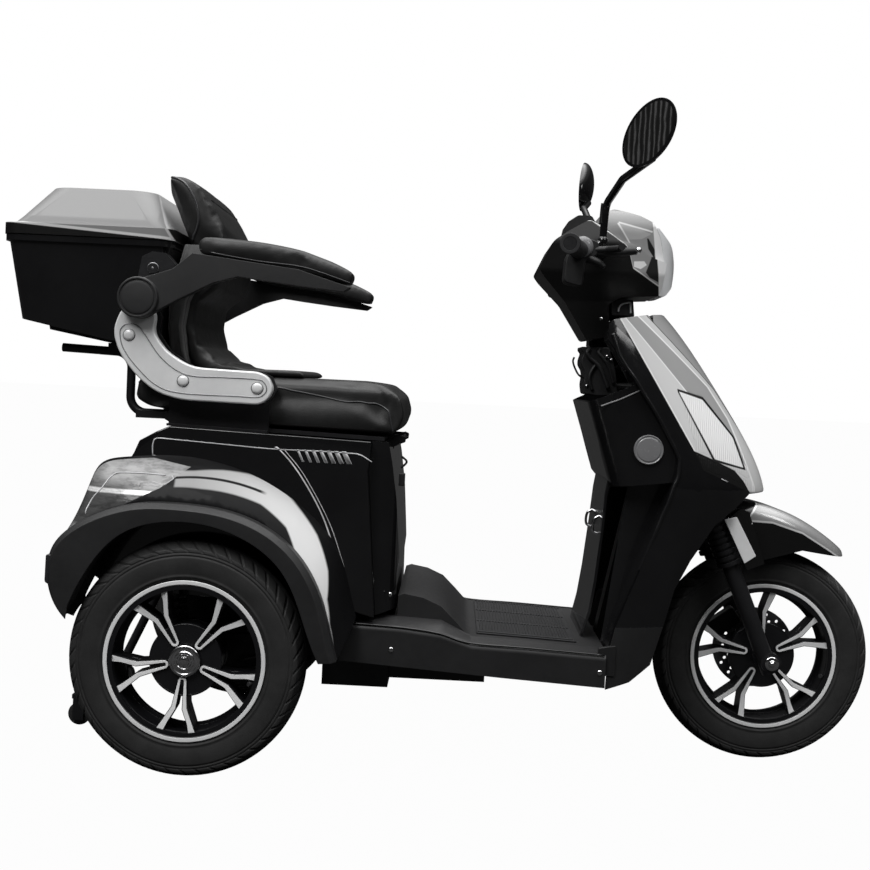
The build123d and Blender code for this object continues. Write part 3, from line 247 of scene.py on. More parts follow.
def tail_lamp(name):
    """Moulded lamp: clear white above, smoky grey below, a white line between them."""
    material, tree, bsdf = new_material(name, Metallic=0.1)
    bsdf.inputs["Coat Weight"].default_value = 0.05
    bsdf.inputs["Specular IOR Level"].default_value = 0.2
    bsdf.inputs["Coat Roughness"].default_value = 0.03
    x, z = split_coords(tree)
    height = math_node(tree, "DIVIDE", math_node(tree, "SUBTRACT", z, 0.425), 0.13)
    rising = math_node(tree, "ADD", height, math_node(tree, "MULTIPLY", x, 0.10))
    shade = ramp(tree, rising, [(0.0, 0.20), (0.05, 0.06), (0.40, 0.08), (0.435, 0.10),
                                (0.45, 0.8), (0.49, 0.8), (0.51, 0.12), (0.62, 0.30), (0.88, 0.42),
                                (0.96, 0.10)])
    vector = object_coords(tree, (1.0, 1.0, 3.0))
    cells = noise(tree, vector, 42.0, 3.0, 0.6)
    mix = tree.nodes.new("ShaderNodeMix")
    mix.data_type = "RGBA"
    mix.blend_type = "MULTIPLY"
    mix.inputs["Factor"].default_value = 0.6
    tree.links.new(shade, mix.inputs["A"])
    tree.links.new(ramp(tree, cells, [(0.36, 0.35), (0.5, 0.8), (0.62, 1.0)]), mix.inputs["B"])
    tree.links.new(mix.outputs["Result"], bsdf.inputs["Base Color"])
    vary(tree, bsdf, "Roughness", cells, 0.08, 0.22)
    bump(tree, bsdf, cells, 0.4, 0.002)
    return material


def folded_cloth(name):
    """Thin black cover cloth with a visible weave."""
    material, tree, bsdf = new_material(name)
    bsdf.inputs["Sheen Weight"].default_value = 0.25
    vector = object_coords(tree)
    tree.links.new(ramp(tree, noise(tree, vector, 30.0, 6.0, 0.6), [(0.3, 0.010), (0.75, 0.022)]),
                   bsdf.inputs["Base Color"])
    vary(tree, bsdf, "Roughness", noise(tree, vector, 160.0, 4.0), 0.55, 0.8)
    bump(tree, bsdf, noise(tree, vector, 1500.0, 2.0), 0.35, 0.0005)
    return material


def line_value(tree, along, points):
    """Piecewise straight function of a socket, through (input, output) points."""
    starts = [p[0] for p in points]
    values = [p[1] for p in points]
    low, high = min(values), max(values)
    span = tree.nodes.new("ShaderNodeMapRange")
    span.inputs["From Min"].default_value = starts[0]
    span.inputs["From Max"].default_value = starts[-1]
    tree.links.new(along, span.inputs["Value"])
    width = starts[-1] - starts[0]
    stops = [((a - starts[0]) / width, (b - low) / (high - low)) for a, b in points]
    curve = ramp(tree, span.outputs["Result"], stops)
    return math_node(tree, "MULTIPLY_ADD", curve, high - low, low)


def step_at(tree, value, width=0.7):
    """0 where value is below zero and 1 where it is above, over a narrow width."""
    made = tree.nodes.new("ShaderNodeMapRange")
    made.inputs["From Min"].default_value = -width
    made.inputs["From Max"].default_value = width
    tree.links.new(value, made.inputs["Value"])
    return made.outputs["Result"]


def above(points):
    """Mask of what lies above a line of (x, z) points, x rising."""
    def mask(tree, x, z):
        return step_at(tree, math_node(tree, "SUBTRACT", z, line_value(tree, x, points)))
    return mask


def below(points):
    """Mask of what lies below a line of (x, z) points, x rising."""
    def mask(tree, x, z):
        return step_at(tree, math_node(tree, "SUBTRACT", line_value(tree, x, points), z))
    return mask


def ahead_of(points, shift=0.0):
    """Mask of what lies ahead of a line of (z, x) points, z rising."""
    def mask(tree, x, z):
        edge = math_node(tree, "ADD", line_value(tree, z, points), shift)
        return step_at(tree, math_node(tree, "SUBTRACT", x, edge))
    return mask


def patch(corners):
    """Mask of a convex patch, its (x, z) corners going round clockwise."""
    def mask(tree, x, z):
        sides = []
        for (a, b), (c, d) in zip(corners, corners[1:] + corners[:1]):
            run = math.hypot(c - a, d - b)
            across = math_node(tree, "MULTIPLY_ADD", x, (d - b) / run,
                               (b * (c - a) - a * (d - b)) / run)
            sides.append(step_at(tree, math_node(tree, "MULTIPLY_ADD", z, (a - c) / run, across)))
        return product(tree, *sides)
    return mask


def both(first, second):
    """Mask of what lies in both masks."""
    def mask(tree, x, z):
        return math_node(tree, "MULTIPLY", first(tree, x, z), second(tree, x, z))
    return mask


def layered(name, base, layers, rough=(0.16, 0.28), coat=0.6, metallic=0.2, shine=0.5):
    """Paint whose grey tone changes from one masked layer to the next."""
    material, tree, bsdf = new_material(name, Metallic=metallic)
    bsdf.inputs["Specular IOR Level"].default_value = shine
    bsdf.inputs["Coat Weight"].default_value = coat
    bsdf.inputs["Coat Roughness"].default_value = 0.04
    across, up = split_coords(tree)
    x = math_node(tree, "MULTIPLY_ADD", across, 1000.0, AHEAD * 1000)
    z = math_node(tree, "MULTIPLY", up, 1000.0)
    tone = math_node(tree, "ADD", base, 0.0)
    for mask, shade in layers:
        part = mask(tree, x, z)
        tone = math_node(tree, "MULTIPLY_ADD", math_node(tree, "SUBTRACT", shade, tone), part, tone)
    tree.links.new(tone, bsdf.inputs["Base Color"])
    vary(tree, bsdf, "Roughness", noise(tree, object_coords(tree), 60.0, 5.0, 0.7), *rough)
    return material


def nose_bands_and_reflection(name, lamp=False):
    """Nose panel: silver and grey bands along its rear edge, partly the panel's silver and partly
    painted reflection of the studio in black gloss, and a black foot.
    """
    rear = [(560, 914), (605, 885.5), (804.5, 759.7), (850, 731)]
    fold = [(560, 1015), (599.8, 979), (674, 911), (714, 870), (825, 765), (850, 741)]
    front = [(540, 1017), (554, 1011), (665, 963), (724, 920), (838, 783), (850, 768)]
    last = [(540, 1060), (600, 1030), (719.5, 939), (843, 799), (850, 791)]
    foot = [(870, 612), (894, 603), (923, 592), (972, 571), (992, 552), (1007, 531), (1030, 520)]
    # the light bands here are partly painted reflection of the studio on the gloss nose
    layers = [
        (ahead_of(rear), 0.92), (ahead_of(rear, 3.0), 0.72), (ahead_of(fold, -1.5), 0.92),
        (ahead_of(fold, 1.5), 0.38), (ahead_of(front), 0.92), (ahead_of(front, 4.5), 0.66),
        (ahead_of(last), 0.03), (ahead_of(last, 2.0), 0.36), (below(foot), 0.012)]
    seal = [(851, 718), (907, 705), (976, 633), (999, 571), (925, 588), (852, 712)]
    glass = [(855, 713), (905, 700), (971, 632), (993, 576), (928, 592), (856, 710)]
    layers += [(patch(seal), 0.02), (patch(glass), 0.97)]
    paint = layered(name, 0.010, layers, metallic=0.0, coat=0.3, shine=0.3)
    if lamp:
        flutes(paint)
    return paint


def flutes(material):
    """Fine wavy flutes of a lamp lens."""
    tree = material.node_tree
    waves = tree.nodes.new("ShaderNodeTexWave")
    waves.bands_direction = "X"
    waves.inputs["Scale"].default_value = 70.0
    waves.inputs["Distortion"].default_value = 2.4
    tree.links.new(object_coords(tree), waves.inputs["Vector"])
    bump(tree, tree.nodes["Principled BSDF"], waves.outputs["Fac"], 0.5, 0.0012)


def front_fender_reflection_paint(name):
    """Black gloss fender whose grey top is painted reflection of the sky on its upward face, with a
    white line along its lower edge.
    """
    edge = [(1000, 476), (1062, 474), (1120, 456.5), (1180, 422), (1215, 400)]
    inner = [(470, 1014), (480, 1019), (499, 1032), (520, 1046)]
    # grey top: painted reflection of the sky; the fender itself is black
    return layered(name, 0.008, [
        (both(above([(x, z - 3.5) for x, z in edge]), ahead_of(inner, -4.0)), 0.8),
        (both(above(edge), ahead_of(inner)), 0.33)], metallic=0.3)


def lid_reflection_paint(name):
    """Top box lid of black gloss: its sloping top painted grey as reflection of the sky, with pale
    lines of painted highlight along its lower and front edges, above a black rim.
    """
    rim = [(-400, 963), (-383, 962), (-75, 942), (-60, 941)]
    front = [(940, -72), (957, -82), (1037, -125), (1050, -132)]
    # pale lines are painted highlights and the grey slope is painted reflection of the sky
    return layered(name, 0.008, [
        (above(rim), 0.60), (above([(x, z + 5) for x, z in rim]), 0.23),
        (ahead_of(front, -5.0), 0.50), (ahead_of(front), 0.012)],
        rough=(0.3, 0.42), coat=0.05, metallic=0.0, shine=0.2)


def head_paint(name):
    """Head cover: black below, a faceted silver top and bright front, with thin pale lines of
    painted highlight along the rim and the facet's edges.
    """
    rim = [(688, 1030), (698, 1023), (713, 1013), (733, 999), (754, 983), (760, 970),
           (768, 942), (781, 934), (800, 922), (822, 909), (850, 893)]
    band = [(880, 822), (892, 821), (1017, 804.6), (1060, 799)]
    facet = [(739, 1026), (778, 1016), (800, 1008), (796, 998), (783, 997), (763, 986)]
    # the thin pale lines along the rim and along the facet's edges are painted highlights
    return layered(name, 0.007, [
        (above([(x, z - 2.5) for x, z in rim]), 0.70), (above(rim), 0.30),
        (patch(facet), 0.42),
        (patch([(739, 1027), (763, 988), (761, 987), (736, 1025)]), 0.75),
        (patch([(739, 1029), (804, 1013), (803, 1010), (739, 1025.5)]), 0.75),
        (patch([(783, 998), (796, 999), (810, 978), (810, 964), (799, 968), (797, 979)]), 0.012),
        (patch([(802, 964), (811, 966), (822, 914), (800, 924), (792, 933)]), 0.02),
        (patch([(769, 953), (788, 954), (793, 947), (782, 939), (769, 943)]), 0.85),
        (ahead_of(band), 0.85)], rough=(0.3, 0.4), coat=0.05, metallic=0.0,
        shine=0.25)


# Angle in radians, from straight ahead and round over the wheel, that the stops of the painted
# reflection band share.
REFLECTION_SPAN = 2.4


def fender_reflection_paint(name):
    """Gloss black with a painted reflection of the studio: a silver band that follows the wheel
    arch, dimmer towards the rear and cut by a thin dark slit where a groove runs.
    """
    material, tree, bsdf = new_material(name)
    bsdf.inputs["Coat Weight"].default_value = 0.03
    bsdf.inputs["Specular IOR Level"].default_value = 0.12
    bsdf.inputs["Coat Roughness"].default_value = 0.03
    across, up = split_coords(tree)
    ahead = math_node(tree, "ADD", across, AHEAD)
    rise = math_node(tree, "SUBTRACT", up, AXLE_HEIGHT * MM)
    squares = math_node(tree, "MULTIPLY_ADD", ahead, ahead, math_node(tree, "MULTIPLY", rise, rise))
    reach = math_node(tree, "SQRT", squares)
    turn = math_node(tree, "ARCTAN2", rise, ahead)
    share = math_node(tree, "DIVIDE", turn, REFLECTION_SPAN)
    # lower and upper edge of the painted reflection band, as distances from the axle
    low = ramp(tree, share, [(0.12, 0.256), (0.248, 0.2554), (0.326, 0.2617), (0.404, 0.2875),
                             (0.488, 0.2978), (0.637, 0.2969), (0.705, 0.3000)])
    high = ramp(tree, share, [(0.12, 0.257), (0.186, 0.266), (0.25, 0.288), (0.335, 0.3084),
                              (0.412, 0.3208), (0.476, 0.3329), (0.541, 0.3338), (0.602, 0.3307),
                              (0.663, 0.3259)])
    # the band is painted reflection of the bright studio in the black gloss
    band = product(tree, over(tree, reach, low, 0.0015), over(tree, high, reach, 0.0015),
                   over(tree, ahead, -0.036, 0.002))
    slit = product(tree, over(tree, reach, 0.3133, 0.0006), over(tree, 0.3172, reach, 0.0006),
                   over(tree, turn, 1.19, 0.02))
    mask = math_node(tree, "MULTIPLY", band, math_node(tree, "SUBTRACT", 1.0, slit))
    reflection_fade = ramp(tree, share, [(0.10, 0.80), (0.3, 0.80), (0.5, 0.55), (0.66, 0.36)])
    mix = tree.nodes.new("ShaderNodeMix")
    mix.data_type = "RGBA"
    tree.links.new(mask, mix.inputs["Factor"])
    mix.inputs["A"].default_value = (*BLACK, 1)
    tree.links.new(reflection_fade, mix.inputs["B"])
    tree.links.new(mix.outputs["Result"], bsdf.inputs["Base Color"])
    tree.links.new(math_node(tree, "MULTIPLY", mask, 0.05), bsdf.inputs["Metallic"])
    cloud = noise(tree, object_coords(tree), 60.0, 5.0, 0.7)
    vary(tree, bsdf, "Roughness", cloud, 0.45, 0.58)
    return material


def over(tree, a, b, width):
    """About 0 where a is below b and 1 where it is above, over width."""
    return step_at(tree, math_node(tree, "SUBTRACT", a, b), width)


def product(tree, *values):
    whole = values[0]
    for value in values[1:]:
        whole = math_node(tree, "MULTIPLY", whole, value)
    return whole


def mirror_face(name):
    """Mirror glass that shows soft wavy bright streaks, as ribbed film does."""
    material, tree, bsdf = new_material(name, Metallic=1.0)
    vector = object_coords(tree, (1.0, 1.0, 0.22))
    waves = tree.nodes.new("ShaderNodeTexWave")
    waves.bands_direction = "X"
    waves.inputs["Scale"].default_value = 44.0
    waves.inputs["Distortion"].default_value = 2.5
    waves.inputs["Detail"].default_value = 2.0
    waves.inputs["Detail Scale"].default_value = 3.0
    tree.links.new(vector, waves.inputs["Vector"])
    tree.links.new(ramp(tree, waves.outputs["Fac"], [(0.0, 0.30), (0.72, 0.40), (0.9, 0.80)]),
                   bsdf.inputs["Base Color"])
    vary(tree, bsdf, "Roughness", waves.outputs["Fac"], 0.10, 0.3)
    bump(tree, bsdf, waves.outputs["Fac"], 0.25, 0.0006)
    return material


mats = {
    "gloss": painted("gloss_black", BLACK, 0.09, coat=0.5),
    "gloss_soft": painted("gloss_black_soft", (0.006, 0.006, 0.0065), 0.2, coat=0.3),
    "lid": lid_reflection_paint("lid_black"),
    "nose": nose_bands_and_reflection("nose_painted_reflection_bands"),
    "fender": fender_reflection_paint("fender_black"),
    "front_fender": front_fender_reflection_paint("front_fender_reflection_paint"),
    "head": head_paint("head_paint"),
    "white": painted("white_lens", (0.80, 0.81, 0.82), 0.15, coat=0.8),
    "edge_line": painted("edge_line", (0.22, 0.22, 0.225), 0.3, coat=0.3),
    "matte": grained("matte_black", (0.011, 0.011, 0.0115), 0.48),
    "matte_dark": grained("matte_black_dark", (0.006, 0.006, 0.0065), 0.5),
    "frame": grained("frame_paint", (0.008, 0.008, 0.009), 0.36, 300.0),
    "bright": painted("bright_alloy", (0.84, 0.845, 0.85), 0.3, coat=0.4, metallic=0.15,
                      flake=0.03),
    "machined": painted("machined_alloy", (0.86, 0.865, 0.87), 0.32, coat=0.4, metallic=0.1),
    "steel": metal("disc_steel", (0.35, 0.35, 0.36), 0.35),
    "chrome": metal("chrome_trim", (0.85, 0.85, 0.86), 0.12),
    "rim": painted("rim_black", (0.005, 0.005, 0.006), 0.28, coat=0.3),
    "tyre": rubber_tyre("tyre_rubber"),
    "rubber": grained("grip_rubber", (0.008, 0.008, 0.009), 0.62, 1400.0),
    "leather": leather("black_vinyl"),
    "piping": painted("piping", (0.03, 0.03, 0.032), 0.3, coat=0.4),
    "lamp": nose_bands_and_reflection("nose_lamp_lens", lamp=True),
    "mirror": mirror_face("mirror_glass"),
    "battery": grained("battery_case", (0.02, 0.02, 0.022), 0.5),
    "pale": painted("pale_stripe_and_highlight", (0.55, 0.55, 0.56), 0.3, coat=0.3),
    "tail": tail_lamp("tail_lamp"),
    "cloth": folded_cloth("cover_cloth"),
    # dark grey metal painted as the shade in the brackets' grooves
    "groove": metal("shaded_alloy", (0.30, 0.30, 0.31), 0.4),
    "knob": painted("knob_grey", (0.17, 0.17, 0.175), 0.35, coat=0.4),
    "reflector_dark": painted("reflector_dark", (0.02, 0.02, 0.022), 0.15, coat=0.8),
    "reflector": painted("reflector_lens", (0.20, 0.20, 0.205), 0.25, coat=0.8),
}

DRESS = {
    "gloss": ["rear_body", "body_front", "leg_shield", "mirrors"],
    "front_fender": ["front_fender"],
    "fender": ["rear_fenders"],
    "gloss_soft": ["box_tub", "inner_shield"],
    "lid": ["box_lid"],
    "head": ["head_shell", "head_cover"],
    "nose": ["nose_panel"],
    "matte": ["arch_flares", "footboard", "lower_skirt", "arm_left", "arm_right"],
    "frame": ["frame", "neck_frame", "tip_arms", "drive_unit", "seat_frame", "box_rack",
              "rear_shocks", "fork", "handlebar"],
    "bright": ["arm_brackets"],
    "matte_dark": ["levers", "brake_caliper", "instrument_hood"],
    "rim": ["rim_front", "rim_rear_left", "rim_rear_right"],
    "steel": ["brake_disc"],
    "tyre": ["tyre_front", "tyre_rear_left", "tyre_rear_right", "tip_wheel_left",
             "tip_wheel_right"],
    "rubber": ["grips", "floor_mat"],
    "white": ["headlight_lens"],
    "lamp": ["nose_lamps"],
    "tail": ["tail_lamps"],
    "mirror": ["mirror_glasses"],
    "battery": ["battery"],
}

# Widths in millimetres of the rounding on the edges of moulded and welded nodes.
EDGE = {"rear_body": 2.5, "body_front": 2.5, "rear_fenders": 2.0, "arch_flares": 3.0,
        "footboard": 3.0, "lower_skirt": 1.5, "leg_shield": 1.5, "nose_panel": 1.5,
        "inner_shield": 2.0, "box_tub": 1.5, "box_lid": 2.0, "head_cover": 2.0,
        "head_shell": 2.0, "headlight_lens": 2.0, "arm_brackets": 3.5, "arm_left": 3.0,
        "arm_right": 3.0, "frame": 1.5, "neck_frame": 1.5, "seat_frame": 1.0,
        "back_shell": 3.0, "drive_unit": 1.5, "fork": 1.0, "front_fender": 1.2,
        "rim_front": 0.8, "rim_rear_left": 0.8, "rim_rear_right": 0.8, "levers": 1.0,
        "brake_caliper": 1.5, "battery": 4.0, "box_rack": 1.0, "nose_lamps": 1.5,
        "tail_lamps": 1.5, "grips": 1.0, "mirrors": 0.8, "floor_mat": 1.0,
        "instrument_hood": 1.5, "tip_wheel_left": 1.5, "tip_wheel_right": 1.5}


# Edges sharper than this, in degrees, are rounded.
CREASE = 32


def soften(piece, width, segments=2):
    """Rounds the sharp edges of a piece and shades it smoothly."""
    for face in piece.data.polygons:
        face.use_smooth = True
    weld = piece.modifiers.new("weld", "WELD")
    weld.merge_threshold = 0.00002
    edge = piece.modifiers.new("edge", "BEVEL")
    edge.width = width * MM
    edge.segments = segments
    edge.limit_method = "ANGLE"
    edge.angle_limit = math.radians(CREASE)
    edge.miter_outer = "MITER_ARC"
    even = piece.modifiers.new("even", "WEIGHTED_NORMAL")
    even.keep_sharp = False
    even.weight = 60


def dress_nodes():
    """Gives every CAD node its finish and rounds its edges."""
    for finish, names in DRESS.items():
        for name in names:
            piece = nodes[name]
            piece.data.materials.clear()
            piece.data.materials.append(mats[finish])
            if name in EDGE:
                soften(piece, EDGE[name])


# ---- node trees for what repeats, sits at marked points or follows a line

def new_tree(name, inputs):
    """Geometry tree with named inputs; gives the tree and the sockets of its inputs."""
    tree = bpy.data.node_groups.new(name, "GeometryNodeTree")
    sockets = tree.interface
    sockets.new_socket("Geometry", in_out="INPUT", socket_type="NodeSocketGeometry")
    for label, kind in inputs.items():
        sockets.new_socket(label, in_out="INPUT", socket_type=f"NodeSocket{kind}")
    sockets.new_socket("Geometry", in_out="OUTPUT", socket_type="NodeSocketGeometry")
    return tree, tree.nodes.new("NodeGroupInput").outputs


def end_tree(tree, given, geometry):
    """Makes the copies real and gives them the tree's finish."""
    real = tree.nodes.new("GeometryNodeRealizeInstances")
    coat = tree.nodes.new("GeometryNodeSetMaterial")
    out = tree.nodes.new("NodeGroupOutput")
    tree.links.new(geometry, real.inputs["Geometry"])
    tree.links.new(real.outputs["Geometry"], coat.inputs["Geometry"])
    tree.links.new(given["Finish"], coat.inputs["Material"])
    tree.links.new(coat.outputs["Geometry"], out.inputs["Geometry"])
    return tree


def own_size(tree):
    """The size written on each point of the geometry."""
    made = tree.nodes.new("GeometryNodeInputNamedAttribute")
    made.data_type = "FLOAT"
    made.inputs["Name"].default_value = "size"
    return made.outputs["Attribute"]


def ring_tree():
    """Copies of a part round the axle line, each one Turn past the last."""
    tree, given = new_tree("ring", {"Count": "Int", "Turn": "Vector", "Finish": "Material"})
    spots = tree.nodes.new("GeometryNodePoints")
    index = tree.nodes.new("GeometryNodeInputIndex")
    turned = tree.nodes.new("ShaderNodeVectorMath")
    turned.operation = "SCALE"
    angle = tree.nodes.new("FunctionNodeEulerToRotation")
    copies = tree.nodes.new("GeometryNodeInstanceOnPoints")
    tree.links.new(given["Count"], spots.inputs["Count"])
    tree.links.new(given["Turn"], turned.inputs[0])
    tree.links.new(index.outputs["Index"], turned.inputs["Scale"])
    tree.links.new(turned.outputs["Vector"], angle.inputs["Euler"])
    tree.links.new(spots.outputs["Points"], copies.inputs["Points"])
    tree.links.new(given["Geometry"], copies.inputs["Instance"])
    tree.links.new(angle.outputs["Rotation"], copies.inputs["Rotation"])
    return end_tree(tree, given, copies.outputs["Instances"])


def spots_tree():
    """A copy of Part at each point of the geometry, scaled by the point's own size."""
    tree, given = new_tree("spots", {"Part": "Object", "Finish": "Material"})
    part = tree.nodes.new("GeometryNodeObjectInfo")
    copies = tree.nodes.new("GeometryNodeInstanceOnPoints")
    tree.links.new(given["Part"], part.inputs["Object"])
    tree.links.new(given["Geometry"], copies.inputs["Points"])
    tree.links.new(part.outputs["Geometry"], copies.inputs["Instance"])
    tree.links.new(own_size(tree), copies.inputs["Scale"])
    return end_tree(tree, given, copies.outputs["Instances"])


def bar_tree():
    """Round bar of a Radius along a line, scaled at each point by the point's own size."""
    tree, given = new_tree("bar", {"Radius": "Float", "Sides": "Int", "Finish": "Material"})
    line = tree.nodes.new("GeometryNodeMeshToCurve")
    ring = tree.nodes.new("GeometryNodeCurvePrimitiveCircle")
    skin = tree.nodes.new("GeometryNodeCurveToMesh")
    skin.inputs["Fill Caps"].default_value = True
    tree.links.new(given["Geometry"], line.inputs["Mesh"])
    tree.links.new(given["Sides"], ring.inputs["Resolution"])
    tree.links.new(given["Radius"], ring.inputs["Radius"])
    tree.links.new(line.outputs["Curve"], skin.inputs["Curve"])
    tree.links.new(ring.outputs["Curve"], skin.inputs["Profile Curve"])
    tree.links.new(own_size(tree), skin.inputs["Scale"])
    return end_tree(tree, given, skin.outputs["Mesh"])


TREES = {"ring": ring_tree(), "spots": spots_tree(), "bar": bar_tree()}


def evaluated(piece):
    return bpy.data.meshes.new_from_object(
        piece.evaluated_get(bpy.context.evaluated_depsgraph_get()))


def grown(source, kind, values):
    """Plain mesh that a tree makes of a source mesh."""
    piece = linked("source", source)
    part = values.get("Part")
    if part:
        values = {**values, "Part": linked("part", part)}
    tree = TREES[kind]
    modifier = piece.modifiers.new("tree", "NODES")
    modifier.node_group = tree
    for socket in tree.interface.items_tree:
        if socket.name in values:
            modifier[socket.identifier] = values[socket.name]
    mesh = evaluated(piece)
    if "size" in mesh.attributes:
        mesh.attributes.remove(mesh.attributes["size"])
    bpy.data.objects.remove(piece)
    if part:
        bpy.data.objects.remove(values["Part"])
    return mesh


def sized_mesh(points, edges, sizes):
    """Mesh of bare points and edges with a size at each point."""
    mesh = bpy.data.meshes.new("line")
    mesh.from_pydata(points, edges, [])
    mesh.attributes.new("size", "FLOAT", "POINT").data.foreach_set("value", sizes)
    return mesh


# ---- building meshes: millimetres of the design, turned into metres when a piece is made

MODEL = Matrix.Translation((-AHEAD, 0, 0)) @ Matrix.Scale(MM, 4)


SIDES = (-1, 1)


def mirrored(side):
    """Placement of a part that is drawn for the right side, where y is below zero."""
    return Matrix.Identity(4) if side < 0 else Matrix.Scale(-1, 4, (0, 1, 0))


def loop_faces(rings, count, closed=False):
    """Faces between rings of count corners each."""
    faces = []
    for ring in range(rings if closed else rings - 1):
        a = ring * count
        b = (ring + 1) % rings * count
        for i in range(count):
            j = (i + 1) % count
            faces.append((a + i, a + j, b + j, b + i))
    return faces


def capped_faces(rings, count):
    """Like loop_faces, with the first and last ring closed."""
    last = (rings - 1) * count
    return loop_faces(rings, count) + [tuple(range(count - 1, -1, -1)),
                                       tuple(range(last, last + count))]


class Shapes:
    """Collects closed shapes for one piece."""

    def __init__(self, place=None):
        self.verts = []
        self.faces = []
        self.growths = []
        self.place = place or Matrix.Identity(4)

    def add(self, verts, faces):
        first = len(self.verts)
        self.verts += [self.place @ Vector(v) for v in verts]
        self.faces += [tuple(first + i for i in face) for face in faces]

    def mesh(self, name):
        mesh = bpy.data.meshes.new(name)
        mesh.from_pydata(self.verts, [], self.faces)
        return mesh

    def prism(self, outline, y_low, y_high):
        """Prism over an (x, z) outline, across the vehicle."""
        verts = [(x, y_low, z) for x, z in outline] + [(x, y_high, z) for x, z in outline]
        self.add(verts, capped_faces(2, len(outline)))

    def slab(self, low, high):
        (a, b, c), (d, e, f) = low, high
        self.prism([(a, c), (d, c), (d, f), (a, f)], b, e)

    def turned(self, profile, centre=(0, 0, 0), steps=64, closed=True):
        """Solid of revolution about a line across the vehicle; profile is (radius, y)."""
        count = len(profile)
        verts = []
        faces = []
        for step in range(steps):
            angle = 2 * math.pi * step / steps
            verts += [(centre[0] + r * math.cos(angle), centre[1] + y,
                       centre[2] + r * math.sin(angle)) for r, y in profile]
            a = step * count
            b = (step + 1) % steps * count
            for i in range(count if closed else count - 1):
                j = (i + 1) % count
                faces.append((a + i, a + j, b + j, b + i))
        self.add(verts, faces)

    def disc(self, profile, centre=(0, 0, 0), steps=48):
        """Like turned, for a profile that starts and ends on the axis."""
        self.turned(profile, centre, steps, closed=False)

    def ball(self, centre, radius, squash=1.0, steps=12):
        """Rounded button that stands out along -y."""
        quarter = [math.pi / 12 * a for a in range(7)]
        profile = [(radius * math.sin(a), -squash * radius * math.cos(a)) for a in quarter]
        self.disc(profile + [(0.0, 0.0)], centre, steps)

    def ring(self, part, count, turn):
        """Copies of a part round the axle line, each a turn past the last."""
        values = {"Count": count, "Turn": (0.0, turn, 0.0)}
        self.growths.append((part.mesh("part"), "ring", values, self.place))

    def spots(self, part, places):
        """A copy of a part at each (x, y, z, size)."""
        points = sized_mesh([place[:3] for place in places], [], [place[3] for place in places])
        self.growths.append((points, "spots", {"Part": part.mesh("part")}, self.place))

    def tube(self, points, radius, steps=12, close=False, end=None):
        """Round bar along a smooth line through the points; end is its last radius."""
        line = smooth_line(points, close)
        last = len(line) - 1
        slope = 0.0 if end is None else (end / radius - 1) / last
        edges = [(i, i + 1) for i in range(last)] + ([(last, 0)] if close else [])
        source = sized_mesh(line, edges, [1 + slope * i for i in range(last + 1)])
        values = {"Radius": float(radius), "Sides": steps}
        self.growths.append((source, "bar", values, self.place))

    def made(self, name, finish, body, slot=None, edge=0.0, segments=2):
        """The finished piece, riding on a body."""
        mesh = self.mesh(name)
        build = bmesh.new()
        build.from_mesh(mesh)
        for source, kind, values, place in self.growths:
            part = grown(source, kind, {**values, "Finish": mats[finish]})
            part.transform(place)
            build.from_mesh(part)
        build.transform(MODEL)
        bmesh.ops.remove_doubles(build, verts=build.verts, dist=0.000005)
        bmesh.ops.recalc_face_normals(build, faces=build.faces)
        for line in build.edges:
            line.smooth = True
        build.to_mesh(mesh)
        build.free()
        piece = linked(name, mesh)
        mesh.materials.append(mats[finish])
        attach(piece, body)
        if edge:
            soften(piece, edge, segments)
        else:
            for face in mesh.polygons:
                face.use_smooth = True
        return piece


def smooth_line(points, close=False, parts=8):
    """Points of a Catmull-Rom line through the given ones."""
    points = [Vector(p) for p in points]
    if len(points) == 2:
        return points
    count = len(points)
    line = []
    spans = count if close else count - 1
    for i in range(spans):
        if close:
            a, b, c, d = (points[(i + k - 1) % count] for k in range(4))
        else:
            b, c = points[i], points[i + 1]
            a = points[i - 1] if i else b - (c - b)
            d = points[i + 2] if i + 2 < count else c + (c - b)
        for step in range(parts):
            t = step / parts
            line.append(0.5 * (2 * b + (c - a) * t + (2 * a - 5 * b + 4 * c - d) * t * t
                               + (3 * b - a - 3 * c + d) * t * t * t))
    if not close:
        line.append(points[-1])
    return line


def round_outline(points, radius=6, parts=4):
    """Outline with its corners rounded."""
    made = []
    count = len(points)
    for i, (x, z) in enumerate(points):
        here = Vector((x, z))
        before = Vector(points[i - 1])
        after = Vector(points[(i + 1) % count])
        cut = min(radius, 0.45 * (before - here).length, 0.45 * (after - here).length)
        a = here + (before - here).normalized() * cut
        b = here + (after - here).normalized() * cut
        for step in range(parts + 1):
            t = step / parts
            p = a * (1 - t) ** 2 + here * (2 * t * (1 - t)) + b * t * t
            made.append((p.x, p.y))
    return made


# ---- wheels, about their own centre with the outer face towards -y

TYRE_PITCHES = 46
WHEELS = {
    "front": ((1067, 0, AXLE_HEIGHT), False, "front_wheel", 24.7),
    "rear_right": ((0, -283, AXLE_HEIGHT), False, "rear_wheel_right", -94.9),
    "rear_left": ((0, 283, AXLE_HEIGHT), True, "rear_wheel_left", -94.9),
}


def wheel_frame(centre, turned):
    place = Matrix.Translation(centre)
    return place @ Matrix.Rotation(math.pi, 4, "Z") if turned else place


